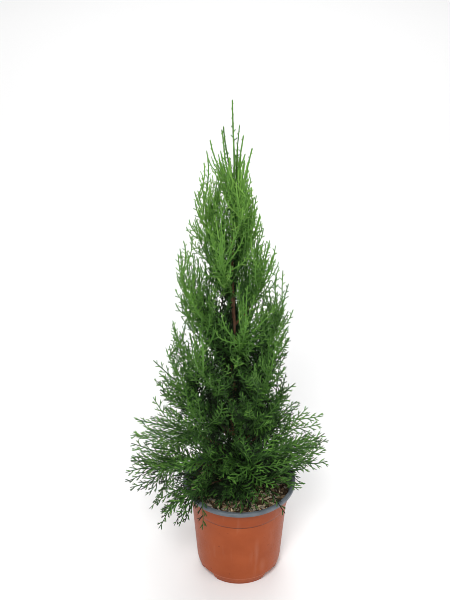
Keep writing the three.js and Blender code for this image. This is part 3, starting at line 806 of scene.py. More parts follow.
def srgb(red, green, blue):
    """A colour from 0 to 255 in linear light: a power of 2.4 above the toe of the curve."""
    value = np.array([red, green, blue]) / 255
    return (*np.where(value < 0.04045, value / 12.92, ((value + 0.055) / 1.055) ** 2.4), 1.0)


def feed(tree, socket, value):
    """Links a socket of another node to this one, or sets this one to a plain value."""
    if isinstance(value, bpy.types.NodeSocket):
        tree.links.new(value, socket)
    else:
        socket.default_value = value


def add(tree, kind, settings=None, **values):
    """A new node. settings are its own properties, and values feed its sockets, by name with _ for a
    space."""
    node = tree.nodes.new(kind)
    for key, value in (settings or {}).items():
        setattr(node, key, value)
    for key, value in values.items():
        feed(tree, node.inputs[key.replace("_", " ")], value)
    return node


def ramp(tree, source, low, high):
    """A mask that rises from 0 to 1 as the source goes from low to high."""
    return add(tree, "ShaderNodeMapRange", Value=source, From_Min=low, From_Max=high).outputs["Result"]


def blend(tree, mask, low, high):
    """Two colours mixed by a mask."""
    node = add(tree, "ShaderNodeMix", {"data_type": "RGBA"}, Factor=mask)
    feed(tree, node.inputs[MIX_LOW], low)
    feed(tree, node.inputs[MIX_HIGH], high)
    return node.outputs[MIX_RESULT]


def maths(tree, settings, first, second):
    """Two values joined by the operation in the settings."""
    node = add(tree, "ShaderNodeMath", settings)
    for socket, value in zip(node.inputs, (first, second)):
        feed(tree, socket, value)
    return node.outputs[0]


def times(tree, first, second):
    """The product of two masks."""
    return maths(tree, {"operation": "MULTIPLY", "use_clamp": True}, first, second)


def object_place(tree, stretch=(1, 1, 1), shift=(0, 0, 0)):
    """Object coordinates, stretched and moved."""
    place = tree.nodes.new("ShaderNodeTexCoord").outputs["Object"]
    return add(tree, "ShaderNodeMapping", Vector=place, Scale=stretch, Location=shift).outputs["Vector"]


def noise(tree, place, scale, detail):
    """A cloudy value from 0 to 1."""
    return add(tree, "ShaderNodeTexNoise", Vector=place, Scale=scale, Detail=detail).outputs["Fac"]


def dress(tree, shader, height, depth, strength=0.6, colour=None, roughness=None):
    """Links colour, roughness and a bump of the given depth in metres to a shader."""
    for label, socket in (("Base Color", colour), ("Roughness", roughness)):
        if socket is not None:
            tree.links.new(socket, shader.inputs[label])
    bump = add(tree, "ShaderNodeBump", Height=height, Strength=strength, Distance=depth)
    tree.links.new(bump.outputs["Normal"], shader.inputs["Normal"])


# %% The shared effects


def shader_group(name, inputs, outputs):
    """An empty node group of numbers. inputs maps names to default values, and outputs lists names."""
    tree = bpy.data.node_groups.new(name, "ShaderNodeTree")
    for label, value in inputs.items():
        socket = tree.interface.new_socket(label, in_out="INPUT", socket_type="NodeSocketFloat")
        socket.default_value = value
    for label in outputs:
        tree.interface.new_socket(label, in_out="OUTPUT", socket_type="NodeSocketFloat")
    return tree, tree.nodes.new("NodeGroupInput").outputs, tree.nodes.new("NodeGroupOutput").inputs


def make_mottle():
    """Two sizes of noise: a broad one for patches and a fine one for grain, and their sum as a height."""
    tree, given, made = shader_group("mottle", dict(Broad=40.0, Fine=400.0), ("Patches", "Grain", "Height"))
    place = object_place(tree)
    patches = noise(tree, place, given["Broad"], detail=3.0)
    grain = noise(tree, place, given["Fine"], detail=2.0)
    height = maths(tree, {"operation": "ADD"}, patches, grain)
    for label, value in dict(Patches=patches, Grain=grain, Height=height).items():
        tree.links.new(value, made[label])
    return tree


def make_streaks():
    """Noise drawn out upright, so that it runs in streaks, and a mask of its strongest streaks."""
    tree, given, made = shader_group("streaks", dict(Scale=60.0, From=0.6, To=0.75), ("Streaks", "Mask"))
    drawn_out = object_place(tree, stretch=(1, 1, 0.12))
    streaks = noise(tree, drawn_out, given["Scale"], detail=4.0)
    tree.links.new(streaks, made["Streaks"])
    tree.links.new(ramp(tree, streaks, given["From"], given["To"]), made["Mask"])
    return tree


def effect(tree, group, **values):
    """A group placed in a material with its own values. Returns its outputs."""
    return add(tree, "ShaderNodeGroup", {"node_tree": group}, **values).outputs


MOTTLE, STREAKS = make_mottle(), make_streaks()
print("shared effects:", MOTTLE.name, STREAKS.name)

# %% [markdown]
# ## Greens
# New growth is a bright yellow-green, and old foliage a deep green. The deep greens also stand for painted
# shade low in the crown and deep inside it, and the darkest green is darkened as painted deep shade. Each
# twig takes one of six plain greens, so each tone has a place without any patterned texture. The grain of
# the scale leaves only changes the gloss and the relief.

# %% Six greens, from old growth and painted shade to new growth
GREENS = [(17, 31, 12), (46, 79, 31), (75, 116, 47), (96, 143, 59), (118, 165, 72), (140, 184, 87)]


def make_green(number, colour):
    """A plain green with a soft gloss and fine relief."""
    material, tree, shader = finish(f"foliage_green_{number}", roughness=0.62, specular=0.2)
    shader.inputs["Base Color"].default_value = srgb(*colour)
    grain = effect(tree, MOTTLE, Broad=260.0, Fine=1400.0)
    rough = ramp(tree, grain["Patches"], -0.6, 1.6)
    dress(tree, shader, grain["Grain"], depth=0.0004, strength=0.5, roughness=rough)
    return material


greens = [make_green(i + 1, colour) for i, colour in enumerate(GREENS)]
print("greens:", len(greens))

# %% [markdown]
# ## Dealing the greens
# A plume is brighter the higher it grows and the further out its tip is, with some luck: the darker greens
# low down and deep inside are partly older growth and partly painted shade. Its shoots take their green
# from
# it: those near its end are new growth and brighter, partly as a painted highlight on the tips, and each
# has luck of its own, which lets one twig stand out from the next.

# %% The green of each twig
# These tables darken the low and the inner plumes: partly older growth, partly painted shade.
HEIGHT_TONE_AND_SHADE = [200, 330, 420, 560, 700, 860, 905, 930], [-0.95, -0.25, -0.6, -0.15, 0.6, 1.4, 1.2, -0.1]
TONE_START, INNER_PAINTED_SHADE, TONE_LUCK = -0.4, 2.8, 0.9
CORD_TONE = [330, 600], [0.1, 0.6]
# Shoots near a plume's end and shootlets on the outer half of a shoot are brighter: partly new growth,
# partly a painted highlight on the tips.
SHOOT_START, SHOOT_END, SHOOT_LUCK, SHOOTLET_END = -0.2, 1.4, 1.9, 0.5


def deal_greens():
    """The tone of each twig. A plume's is a weighted sum of its height, how far out it is and luck; the
    darker low and inner plumes are partly painted shade. A shoot's adds its share along the plume, partly
    new growth and partly a painted highlight, and more luck, and a shootlet's is its shoot's or brighter,
    partly as a painted highlight on the tips."""
    heights = carriers["lines"][:, -1, 2]
    tone = np.interp(heights, *HEIGHT_TONE_AND_SHADE) + TONE_START + INNER_PAINTED_SHADE * carriers["outer"]
    tone = tone + TONE_LUCK * (carriers["luck"] - 0.5)
    carriers["tone"] = tone + np.interp(heights, *CORD_TONE)
    luck = np.random.default_rng(SEED + 30).random(len(shoots["share"])) - 0.5
    shoots["tone"] = tone[shoots["parent"]] + SHOOT_START + SHOOT_END * shoots["share"] + SHOOT_LUCK * luck
    shootlets["tone"] = shoots["tone"][shootlets["parent"]] + SHOOTLET_END * (shootlets["share"] > 0.5)


def green_of(level):
    """The number of each twig's green: its tone rounded down, kept in range."""
    return np.clip(np.floor(level["tone"]), 0, len(GREENS) - 1).astype(int)


deal_greens()
print("shoots of each green:", np.bincount(green_of(shoots)))

# %% [markdown]
# ## Cords of scale leaves
# A shoot is a cord of overlapping scales: seen close, its edge swells and narrows. Modelled scales would
# need millions of faces, and a few rings with alternate widths give the same outline. Cords of one tier are
# joined into one piece, which replaces the masses of that tier.

# %% Cords
CORD_SIDES, PLUME_SIDES = 3, 4
SHOOT_CORD = dict(half=1.1, flat=0.75, swell=np.array([0.8, 1.06, 0.84, 0.98, 0.0]))
SHOOTLET_CORD = dict(half=0.95, flat=0.7, swell=np.array([0.72, 1.0, 0.0]))
PLUME_HALF, PLUME_FLAT, PLUME_NARROWS, PLUME_POINT = (1.2, 0.95), 0.85, 0.86, 0.6
LOW_WIDER, TOP_WIDER = ([330, 474], [1.18, 1]), ([860, 905], [1, 1.3])


def cords(level, half, flat, swell):
    """Tubes with rings that swell and narrow. half is half the cord's width, which is a little more low
    down, and flat its thickness share."""
    half = half * np.interp(level["lines"][:, :1, 2], *LOW_WIDER)
    wide = half * swell[None, :]
    return tubes(level["lines"], level["wide"], wide, wide * flat, CORD_SIDES)


def plume_cords(level):
    """Tubes along every second point of the plumes, with every second ring narrower. The last ring is moved
    close to the tip, which makes it blunt."""
    lines = level["lines"][:, np.r_[0:PLUME_STEPS:2, PLUME_STEPS - 1, PLUME_STEPS]]
    lines[:, -2] = lerp(lines[:, -2], lines[:, -1], PLUME_POINT)
    wide = np.linspace(*PLUME_HALF, lines.shape[1]) * np.interp(lines[:, -1:, 2], *TOP_WIDER)
    wide[:, 1::2] *= PLUME_NARROWS
    return tubes(lines, level["wide"], wide, PLUME_FLAT * wide, PLUME_SIDES)


# %% Build the foliage pieces
BOUGHS_OF = dict(skirt=7, low=6, flare=5, cone_foot=4, cone_low=3, cone_mid=4, cone_top=8)


def foliage_piece(name, keep_plumes, keep_shoots, keep_shootlets, nodes):
    """A piece of plumes, their shoots and, where there are any, the shootlets on those."""
    levels = [chosen(carriers, keep_plumes), chosen(shoots, keep_shoots)]
    parts = [plume_cords(levels[0]), cords(levels[1], **SHOOT_CORD)]
    if keep_shootlets.any():
        levels.append(chosen(shootlets, keep_shootlets))
        parts.append(cords(levels[2], **SHOOTLET_CORD))
    points, sheets, owner = joined(parts)
    shade = [green_of(level) for level in levels]
    shade = [shade[number] for number in owner]
    looks = [np.repeat(each, len(sheet) // len(each)) for sheet, each in zip(sheets, shade)]
    made = piece(name, points, sheets, greens, looks)
    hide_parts(*nodes)


def build_foliage():
    """One piece for each tier of the lower crown, and the cone in stretches with about as many shoots."""
    plume_axis = carriers["axis"]
    shoot_axis = plume_axis[shoots["parent"]]
    shootlet_axis = shoot_axis[shootlets["parent"]]
    first = 0
    for name, count in BOUGHS_OF.items():
        last = first + count
        keep = [(axis >= first) & (axis < last) for axis in (plume_axis, shoot_axis, shootlet_axis)]
        foliage_piece(f"sprays_{name}", *keep, [f"foliage_{axis['label']}" for axis in AXES[first:last]])
        first = last


build_foliage()

# %% [markdown]
# ## Bark
# The bark of a young cypress is red-brown and splits into fine upright fibres. A bump alone would leave the
# outline smooth, so the trunk and the boughs are tubes whose radius is rippled by ridges that run along
# them, and the finish adds finer streaks. The top of the trunk is young wood, which is still green.

# %% Bark finish
BARK_GREY = (112, 92, 78)


def make_bark(name, dark, light):
    """Dark and light fibres, greyed in patches."""
    material, tree, shader = finish(name, roughness=0.85, specular=0.2)
    fibres = effect(tree, STREAKS, Scale=420.0, From=0.35, To=0.7)
    patches = effect(tree, MOTTLE, Broad=90.0, Fine=900.0)
    base = blend(tree, fibres["Mask"], srgb(*dark), srgb(*light))
    greyed = blend(tree, ramp(tree, patches["Patches"], 0.5, 0.8), base, srgb(*BARK_GREY))
    dress(tree, shader, fibres["Streaks"], depth=0.0012, colour=greyed)
    return material


bark = make_bark("bark_red_brown", (66, 48, 36), (124, 88, 66))
twig_bark = make_bark("bark_twig", (60, 46, 32), (98, 70, 48))
print("barks:", bark.name, twig_bark.name)

# %% Trunk and boughs with relief
TRUNK_RINGS, TRUNK_SIDES, TRUNK_RIDGE, RING_CROWD = 150, 20, 0.13, 1.3
TRUNK_ENDS, YOUNG_WOOD = (SOIL_TOP - 2, TRUNK_TOP + 6), 770
BOUGH_RINGS, BOUGH_SIDES, BOUGH_RIDGE, BOUGH_ROOT = 26, 12, 0.12, 1.05
RIDGE_WAVES = (3, 5, 7)


def ridges(n, m, sides, strength, seed):
    """Radius factors: a sum of sines round the limb whose phase drifts along it, so that ridges run
    lengthways."""
    rng = np.random.default_rng(seed)
    turn = circle(sides)[None, None, :]
    along = np.linspace(0, 1, m)[None, :, None]
    total = np.zeros((n, m, sides))
    for waves in RIDGE_WAVES:
        phase = rng.uniform(0, 2 * np.pi, (n, 1, 1))
        drift = rng.uniform(2, 9, (n, 1, 1)) * np.sin(rng.uniform(3, 9, (n, 1, 1)) * along + phase)
        total += np.sin(waves * turn + phase + drift) / len(RIDGE_WAVES)
    return 1 + strength * total


def build_trunk():
    """A rippled tube along the leader, with rings closer together near the soil. Above a height its faces
    are green."""
    heights = lerp(*TRUNK_ENDS, np.linspace(0, 1, TRUNK_RINGS) ** RING_CROWD)
    radius = trunk_radius(np.minimum(heights, TRUNK_TOP))[None]
    relief = ridges(1, TRUNK_RINGS, TRUNK_SIDES, TRUNK_RIDGE, SEED)
    across = np.array([[1.0, 0, 0]])
    points, sheets = tubes(leader_at(heights)[None], across, radius, radius, TRUNK_SIDES, relief)
    ring = np.repeat(np.arange(TRUNK_RINGS - 2), TRUNK_SIDES)
    looks = [np.where(heights[ring] < YOUNG_WOOD, 0, 1), np.ones(len(sheets[1])), np.zeros(1)]
    made = piece("trunk_bark", points, sheets, [bark, greens[2]], looks)
    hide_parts("trunk")


def level_side(lines):
    """A level direction across each line."""
    return unit(np.cross(lines[:, -1] - lines[:, 0], np.array([0, 0, 1.0])))


def build_boughs():
    """Rippled tubes along the bare limbs, with a straight taper."""
    limbs = [axis for axis in AXES if axis["bare"]]
    lines = np.stack([evenly(axis["line"][: bare_end(axis) + 2], BOUGH_RINGS) for axis in limbs])
    root = np.array([axis["root"] for axis in limbs])[:, None]
    radius = root * np.linspace(BOUGH_ROOT, BOUGH_TAPER, BOUGH_RINGS)[None, :]
    relief = ridges(len(limbs), BOUGH_RINGS, BOUGH_SIDES, BOUGH_RIDGE, SEED + 3)
    points, sheets = tubes(lines, level_side(lines), radius, radius, BOUGH_SIDES, relief)
    made = piece("boughs_bark", points, sheets, [bark])
    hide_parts(*[f"bough_{axis['label']}" for axis in limbs])


build_trunk()
build_boughs()

# %% [markdown]
# ## Stems
# The bough goes on as the stem of its sprays. It is brown wood at its root and green towards its tip,
# where it ends in a growing point. It is a piece of its own, since it takes two kinds of finish.

# %% Stems inside the foliage
STEM_RINGS, STEM_SIDES, STEM_WOOD, STEM_TIP = 34, 6, (0.16, 0.12), 0.95
STEM_TAPER, UPRIGHT_ROOT = 0.7, 0.9


def build_stems():
    """Tubes from the radius at the end of the limb to a fine tip, by a power of the share along the stem,
    wood up to a share and green past it."""
    lines = stems["lines"][:, np.linspace(0, AXIS_POINTS - 1, STEM_RINGS).round().astype(int)]
    root = [axis["root"] * (BOUGH_TAPER if axis["bare"] else UPRIGHT_ROOT) for axis in AXES]
    radius = lerp(np.array(root)[:, None], STEM_TIP, np.linspace(0, 1, STEM_RINGS)[None, :] ** STEM_TAPER)
    points, sheets = tubes(lines, level_side(lines), radius, radius, STEM_SIDES)
    faces = (STEM_RINGS - 2) * STEM_SIDES
    ring = np.tile(np.repeat(np.arange(STEM_RINGS - 2), STEM_SIDES), len(lines)) / (STEM_RINGS - 2)
    spreading = lines[:, -1, 2] < CONE_LOW
    wood = np.where(spreading, *STEM_WOOD) * (lines[:, 0, 2] < YOUNG_WOOD)
    green = np.where(spreading, 1, 2)
    looks = [np.where(ring < np.repeat(wood, faces), 0, np.repeat(green, faces)),
             np.repeat(green, STEM_SIDES), np.zeros(len(sheets[2]))]
    made = piece("stems", points, sheets, [twig_bark, greens[1], greens[3]], looks)


build_stems()

# %% [markdown]
# ## Pot
# The pot is pressed from thin sheet, red-brown outside and grey inside. Its foot has four recesses for
# drainage, which push it in to a flat face. Blender's Screw and Boolean could make it, but a grid of radius
# and height over the turn takes the recesses in the same formula. The profile runs from the middle of the
# base up the outside and down the inside, so that the sheet has its thickness.

# %% Pot surface
SHEET, BASE_RADIUS = 1.6, 75.6
NOTCH_BEARING, NOTCH_HEIGHT, NOTCH_DEPTH, NOTCH_FOOT, NOTCH_TOP, NOTCH_SOFT = 38, 18, 13, 20.5, 17, 0.8
POT_COLUMNS, POT_STEP, BASE_RINGS = 360, 7.0, (0.3, 0.6, 0.85, 0.96)
POT_TOP = POT_HEIGHT - SHEET - GAP
WALL = np.array([
    (74.8, 0), (75.4, 0.4), (75.6, 1.4), (76.0, 4.6), (76.3, 5.2), (77.6, 5.7), (78.3, 6.2), (78.7, 7.0),
    (79.9, 10), (81.0, 13.2), (81.95, 16.5), (82.25, 17.9), (82.28, 18.0), (82.34, 18.3), (82.6, 19.5),
    (82.62, 19.6), (82.7, 20), (83.35, 24), (83.85, 28), (84.2, 33), (93.35, 158), (93.55, 159.6),
    (93.9, 160.5), (94.6, 161.1), (95.1, 162), (96.6, 174), (98.5, 187.7), (101.2, 197), (105, POT_TOP),
])


def profile_rows(profile, step):
    """The profile with points added so that none of its stretches is longer than step."""
    rows = [profile[:1]]
    for a, b in zip(profile[:-1], profile[1:]):
        count = max(1, math.ceil(np.linalg.norm(b - a) / step))
        rows.append(a + (b - a) * (np.arange(1, count + 1) / count)[:, None])
    return np.concatenate(rows)


def smooth_step(value):
    """A share that leaves 0 and reaches 1 without a corner: three squares less two cubes."""
    value = np.clip(value, 0, 1)
    return value * value * (3 - 2 * value)


def notched(radius, height, turn, grow):
    """The radius pushed in to a flat face inside each recess: as far from the axis along the recess's
    bearing as its depth leaves, with sloping sides and a flat roof. grow moves all its faces outwards. The
    recesses mirror each other, so every turn is folded into the first quarter."""
    bearing = np.arctan2(np.abs(np.sin(turn)), np.abs(np.cos(turn))) - math.radians(NOTCH_BEARING)
    aside = np.abs(radius * np.sin(bearing))
    half = lerp(NOTCH_FOOT, NOTCH_TOP, np.clip(height / NOTCH_HEIGHT, 0, 1)) + grow
    inside = smooth_step((half + NOTCH_SOFT - aside) / (2 * NOTCH_SOFT)) * (height < NOTCH_HEIGHT + grow)
    flat = (BASE_RADIUS - NOTCH_DEPTH - grow) / np.cos(bearing)
    return lerp(radius, np.minimum(radius, flat), inside)


def turned_sheet(radius, height):
    """Points and faces of a surface turned round the upright axis from rows (m, columns) of radius and
    height, closed round. Faces point to the right of the way the rows run."""
    rows, columns = radius.shape
    turn = circle(columns)
    points = np.stack([radius * np.cos(turn), radius * np.sin(turn), height], axis=-1)
    return points.reshape(-1, 3), ring_quads(rows, columns)


def capped(points, quads, columns, low, high):
    """A turned sheet with a point at each end, joined to its first and last rows by triangles."""
    n = len(points)
    first, last = np.arange(columns), n - columns + np.arange(columns)
    fans = [np.stack([np.roll(first, -1), first, np.full(columns, n)], axis=-1),
            np.stack([last, np.roll(last, -1), np.full(columns, n + 1)], axis=-1)]
    return np.concatenate([points, [low, high]]), [quads, *fans]


def build_pot(outside, inside):
    """The wall's profile turned outside, the same moved in by the sheet's thickness inside, and rings that
    carry both to the middle of the base."""
    turn = circle(POT_COLUMNS)[None, :]
    outer = profile_rows(WALL, POT_STEP)
    inner = outer[::-1] - np.array([SHEET, 0])
    inner[:, 1] = np.maximum(inner[:, 1], SHEET)
    outer_rows = notched(outer[:, :1] + 0 * turn, outer[:, 1:], turn, 0)
    inner_rows = notched(inner[:, :1] + 0 * turn, inner[:, 1:], turn, SHEET)
    base = np.array(BASE_RINGS)[:, None]
    radius = np.concatenate([base * outer_rows[:1], outer_rows, inner_rows, base[::-1] * inner_rows[-1:]])
    height = np.concatenate([0 * base, outer[:, 1:], inner[:, 1:], SHEET + 0 * base]) + 0 * turn
    points, quads = turned_sheet(radius, height)
    points, sheets = capped(points, quads, POT_COLUMNS, (0, 0, 0), (0, 0, SHEET))
    grey_from = len(base) + len(outer)
    row = np.repeat(np.arange(len(radius) - 1), POT_COLUMNS)
    looks = [np.where(row >= grey_from, 1, 0), np.zeros(POT_COLUMNS), np.ones(POT_COLUMNS)]
    made = piece("pot_shell", points, sheets, [outside, inside], looks)
    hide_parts("pot")


# %% [markdown]
# ## Plastic
# The outside is a matt red-brown plastic with faint upright scuffs, a little dust and a few dark specks.
# The lip is the grey inner face of the sheet, rubbed pale in places. Lines that run round the pot are masks
# of the height, so they stay in place on the turned surface without a painted map. The dark line at the
# step below the collar is a painted shadow, and the pale line on the curve of the foot a painted highlight.

# %% Plastic finishes
# The line tone is a painted shadow at the step below the collar, and the foot tone a painted highlight on
# the curve of the foot.
PLASTIC = dict(deep=(153, 74, 40), warm=(164, 82, 46), collar=(132, 58, 29), line=(96, 42, 24),
               foot=(196, 122, 92), dust=(205, 160, 138), scuff=(208, 160, 138), speck=(92, 46, 30))
GREY, GREY_RUBBED = (80, 88, 96), (104, 111, 118)
COLLAR = (0.16, 0.162)
# The first band is a painted shadow at the step below the collar, the second a painted highlight on the
# curve of the foot.
STEP_SHADOW_BAND, FOOT_HIGHLIGHT_BAND = (0.1585, 0.1597, 0.1615, 0.1628), (0.0166, 0.0178, 0.0184, 0.0196)
SCUFFS = [((0.034, -0.086, 0.092), (0.006, 0.03, 0.042)), ((0.046, -0.076, 0.045), (0.007, 0.03, 0.026))]


def spot(tree, place, size):
    """A soft mask round a place, with a half size along each axis: 1 in the middle and 0 outside."""
    vector = object_place(tree, stretch=[1 / s for s in size], shift=[-p / s for p, s in zip(place, size)])
    return add(tree, "ShaderNodeTexGradient", {"gradient_type": "SPHERICAL"}, Vector=vector).outputs["Fac"]


def band(tree, height, start, full, fade, end):
    """A mask that rises from start to full and falls from fade to end."""
    return times(tree, ramp(tree, height, start, full), ramp(tree, height, end, fade))


def make_terracotta():
    """Two warm tones in patches, then the collar, the lines, which are a painted shadow at the step and a
    painted highlight on the curve of the foot, dust, scuffs and specks, each by its mask.
    """
    material, tree, shader = finish("plastic_red_brown", roughness=0.5, specular=0.1)
    wear = effect(tree, STREAKS, Scale=70.0, From=0.58, To=0.78)
    grain = effect(tree, MOTTLE, Broad=22.0, Fine=260.0)
    height = add(tree, "ShaderNodeSeparateXYZ", Vector=object_place(tree)).outputs["Z"]
    specks = add(tree, "ShaderNodeTexVoronoi", Vector=object_place(tree), Scale=48.0).outputs["Distance"]
    # The line layer is a painted shadow at the step below the collar.
    layers = [("collar", ramp(tree, height, *COLLAR), 0.3), ("line", band(tree, height, *STEP_SHADOW_BAND), 0.9),
              # The foot layer is a painted highlight on the curve of the foot.
              ("foot", band(tree, height, *FOOT_HIGHLIGHT_BAND), 0.5), ("dust", wear["Mask"], 0.08)]
    layers += [("scuff", times(tree, spot(tree, *scuff), wear["Streaks"]), 0.25) for scuff in SCUFFS]
    layers.append(("speck", ramp(tree, specks, 0.1, 0.04), 0.6))
    patches = ramp(tree, grain["Patches"], 0.3, 0.7)
    colour = blend(tree, patches, srgb(*PLASTIC["deep"]), srgb(*PLASTIC["warm"]))
    for tint, mask, amount in layers:
        colour = blend(tree, times(tree, mask, amount), colour, srgb(*PLASTIC[tint]))
    rough = ramp(tree, grain["Grain"], -0.4, 1.9)
    dress(tree, shader, grain["Height"], depth=0.0003, strength=0.25, colour=colour, roughness=rough)
    return material


def make_grey_plastic():
    """Two greys in patches, with a fine grain in the gloss."""
    material, tree, shader = finish("plastic_blue_grey", roughness=0.45, specular=0.4)
    rubbed = effect(tree, MOTTLE, Broad=60.0, Fine=700.0)
    base = blend(tree, ramp(tree, rubbed["Patches"], 0.35, 0.75), srgb(*GREY), srgb(*GREY_RUBBED))
    rough = ramp(tree, rubbed["Grain"], -0.3, 1.6)
    dress(tree, shader, rubbed["Height"], depth=0.0004, strength=0.3, colour=base, roughness=rough)
    return material


terracotta, grey = make_terracotta(), make_grey_plastic()
build_pot(terracotta, grey)

# %% [markdown]
# ## Lip
# The sheet is rolled outwards at the top: a flat ring with a rounded edge and a skirt turned down. A real
# one is not quite true, so its height wavers a little round the pot. It is turned from a closed profile,
# as the pot is, because a torus has no skirt.

# %% Lip surface
LIP = np.array([
    (103.0, 206.5), (107.6, 206.5), (108.3, 206.0), (108.4, 205.0), (108.4, 200.9), (108.7, 200.5),
    (109.4, 200.5), (109.7, 200.9), (110.0, 205.6), (109.8, 206.9), (109.1, 207.7), (108.1, 208.0),
    (103.6, 207.9), (103.1, 207.5),
])
LIP_COLUMNS, LIP_STEP = 240, 2.5
LIP_WAVERS, LIP_OUT = ((0.12, 3, 1), (0.08, 7, 0)), (0.15, 5)


def build_lip():
    """The closed profile turned round the axis. Its height wavers by two sines of the turn, and its radius
    by a third. The last row is the first one again, so its points are left out."""
    profile = profile_rows(np.concatenate([LIP, LIP[:1]]), LIP_STEP)
    turn = circle(LIP_COLUMNS)[None, :]
    waver = sum(size * np.sin(waves * turn + phase) for size, waves, phase in LIP_WAVERS)
    out = LIP_OUT[0] * np.sin(LIP_OUT[1] * turn)
    points, quads = turned_sheet(profile[:, :1] + out, profile[:, 1:] + waver)
    count = (len(profile) - 1) * LIP_COLUMNS
    made = piece("lip_roll", points[:count], [quads % count], [grey])
    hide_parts("pot_lip")


build_lip()

# %% [markdown]
# ## Soil and bark chips
# The pot is filled with dark potting soil under a loose mulch of bark chips, pale tan and grey-brown.
# The soil is a turned body whose top is rippled by a sum of sines, and each chip is a flat prism with an
# uneven outline, laid at a small tilt on the height of the soil. Letting chips fall in a simulation would
# take longer and look no different from above.

# %% Soil body
SOIL_COLUMNS, SOIL_RADIUS, SOIL_FLOOR = 180, 97, 24.0
SOIL_WALL = np.array([(81.0, SOIL_FLOOR), (82.2, 30), (91.3, 158), (93.0, 163), (96.0, 184)])
SOIL_RINGS, SOIL_STEP, SOIL_TOP_RINGS = np.array([[30.0], [60.0]]), 12, (96.4, 2, 46)
LUMPS, SOIL_SUNK = [(0.9, 11, 26), (0.5, 12, 8)], 0.6
SOIL_DARK, SOIL_PALE = (44, 34, 24), (88, 70, 50)


def ripple(x, y, seed, size, terms=14):
    """A smooth uneven height: sines with random directions and lengths near size, summed and divided by the
    root of their number."""
    rng = np.random.default_rng(seed)
    bearings, lengths = rng.uniform(0, np.pi, terms), rng.uniform(0.6, 1.8, terms)
    total = np.zeros(np.broadcast(x, y).shape)
    for bearing, length, phase in zip(bearings, lengths, rng.uniform(0, 7, terms)):
        total += np.sin((x * np.cos(bearing) + y * np.sin(bearing)) * 2 * np.pi / (size * length) + phase)
    return total / math.sqrt(terms)


def soil_height(x, y):
    """Level round the stem, falling a little to the wall, with lumps of two sizes."""
    out = np.hypot(x, y)
    fall = np.clip((out - SOIL_PATCH_RADIUS) / (SOIL_RADIUS - SOIL_PATCH_RADIUS), 0, 1)
    level = lerp(SOIL_TOP, SOIL_EDGE, fall)
    for height, seed, size in LUMPS:
        level = level + height * ripple(x, y, seed, size)
    return level - SOIL_SUNK


def make_soil():
    """Two browns in small patches with a deep bump."""
    material, tree, shader = finish("soil_dark", roughness=0.95, specular=0.15)
    crumbs = effect(tree, MOTTLE, Broad=160.0, Fine=900.0)
    base = blend(tree, ramp(tree, crumbs["Patches"], 0.35, 0.7), srgb(*SOIL_DARK), srgb(*SOIL_PALE))
    dress(tree, shader, crumbs["Height"], depth=0.003, colour=base)
    return material


def build_soil():
    """A floor, the wall's profile, and rings across the top at the height of the soil."""
    turn = circle(SOIL_COLUMNS)[None, :]
    top = np.linspace(*SOIL_TOP_RINGS)[:, None] + 0 * turn
    side = profile_rows(SOIL_WALL, SOIL_STEP)
    level = soil_height(top * np.cos(turn), top * np.sin(turn))
    radius = np.concatenate([SOIL_RINGS + 0 * turn, side[:, :1] + 0 * turn, top])
    height = np.concatenate([SOIL_FLOOR + 0 * SOIL_RINGS + 0 * turn, side[:, 1:] + 0 * turn, level])
    points, quads = turned_sheet(radius, height)
    middle = (0, 0, float(level[-1].mean()))
    points, sheets = capped(points, quads, SOIL_COLUMNS, (0, 0, SOIL_FLOOR), middle)
    made = piece("soil_body", points, sheets, [make_soil()])
    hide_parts("soil")


build_soil()

# %% Bark chips
CHIP_COUNT, CHIP_SIDES, CHIP_SEED = 620, 7, 21
CHIP_LENGTH, CHIP_WIDTH, CHIP_THICK, CHIP_JITTER = (2.5, 9), (1.4, 3.6), (0.5, 1.4), (0.7, 1.15)
CHIP_SPREAD, CHIP_MIDDLE, CHIP_EDGE, CHIP_INWARD = 94, 0.02, 95.5, 0.4
CHIP_LIFT, CHIP_TILT, CHIP_TOP = 0.6, 0.24, 0.86
CHIP_SHADES = {
    "tan": ((190, 172, 142), 0.34),
    "brown": ((124, 104, 80), 0.3),
    "grey": ((160, 152, 136), 0.2),
    "dark": ((76, 64, 50), 0.16),
}


def make_chip(name, colour):
    """A darker and a paler tone of the colour in fine patches."""
    material, tree, shader = finish(f"chip_{name}", roughness=0.9, specular=0.15)
    fibre = effect(tree, MOTTLE, Broad=220.0, Fine=1100.0)
    deep, pale = [0.7 * c for c in colour], [min(255, 1.2 * c) for c in colour]
    base = blend(tree, ramp(tree, fibre["Patches"], 0.35, 0.65), srgb(*deep), srgb(*pale))
    dress(tree, shader, fibre["Height"], depth=0.001, colour=base)
    return material


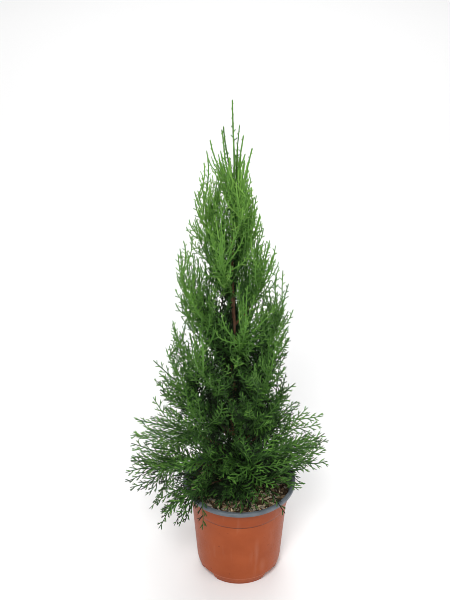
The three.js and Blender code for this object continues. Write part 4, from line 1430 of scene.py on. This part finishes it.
def chip_shapes(rng, length, width, thick):
    """Chips round the origin. An outline of radius one with jitter is stretched to the length and the
    width, in two layers: a lower one, and a smaller upper one. It is turned and tilted."""
    n, turn = len(length), circle(CHIP_SIDES)
    edge = rng.uniform(*CHIP_JITTER, (n, CHIP_SIDES))
    flat = np.stack([edge * np.cos(turn) * length[:, None], edge * np.sin(turn) * width[:, None]], axis=-1)
    yaw = rng.uniform(0, 2 * np.pi, n)
    tilts = CHIP_TILT * rng.normal(size=(2, n))
    spin = np.stack([np.cos(yaw), -np.sin(yaw), np.sin(yaw), np.cos(yaw)], axis=1).reshape(n, 2, 2)
    level = np.einsum("nij,nkj->nki", spin, np.concatenate([flat, CHIP_TOP * flat], axis=1))
    layers = np.repeat(np.stack([-thick, thick], axis=1), CHIP_SIDES, axis=1)
    raised = layers + level[..., 0] * tilts[0][:, None] + level[..., 1] * tilts[1][:, None]
    return np.concatenate([level, raised[..., None]], axis=2)


def build_chips():
    """Chips spread evenly over the soil and set down on it. Those that would reach the wall are moved
    inwards by their length or left out."""
    rng = np.random.default_rng(CHIP_SEED)
    n = CHIP_COUNT
    out, bearing = CHIP_SPREAD * np.sqrt(rng.uniform(CHIP_MIDDLE, 1, n)), rng.uniform(0, 2 * np.pi, n)
    length, width, thick = [rng.uniform(*span, n) for span in (CHIP_LENGTH, CHIP_WIDTH, CHIP_THICK)]
    shapes = chip_shapes(rng, length, width, thick)
    inward = np.minimum(1, (CHIP_EDGE - length * CHIP_INWARD) / np.maximum(out, 1))
    x, y = out * np.cos(bearing) * inward, out * np.sin(bearing) * inward
    places = np.stack([x, y, soil_height(x, y) + CHIP_LIFT * thick], axis=1)
    points = places[:, None, :] + shapes
    points = points[np.hypot(points[..., 0], points[..., 1]).max(axis=1) < SOIL_RADIUS]
    n, k = len(points), np.arange(CHIP_SIDES)
    sheets = copied((ring_quads(2, CHIP_SIDES), k[::-1][None], (k + CHIP_SIDES)[None]), n, 2 * CHIP_SIDES)
    shade = rng.choice(len(CHIP_SHADES), n, p=[share for _, share in CHIP_SHADES.values()])
    looks = [np.repeat(shade, len(sheet) // n) for sheet in sheets]
    finishes = [make_chip(name, colour) for name, (colour, _) in CHIP_SHADES.items()]
    made = piece("bark_chips", points.reshape(-1, 3), sheets, finishes, looks, smooth=False)


build_chips()
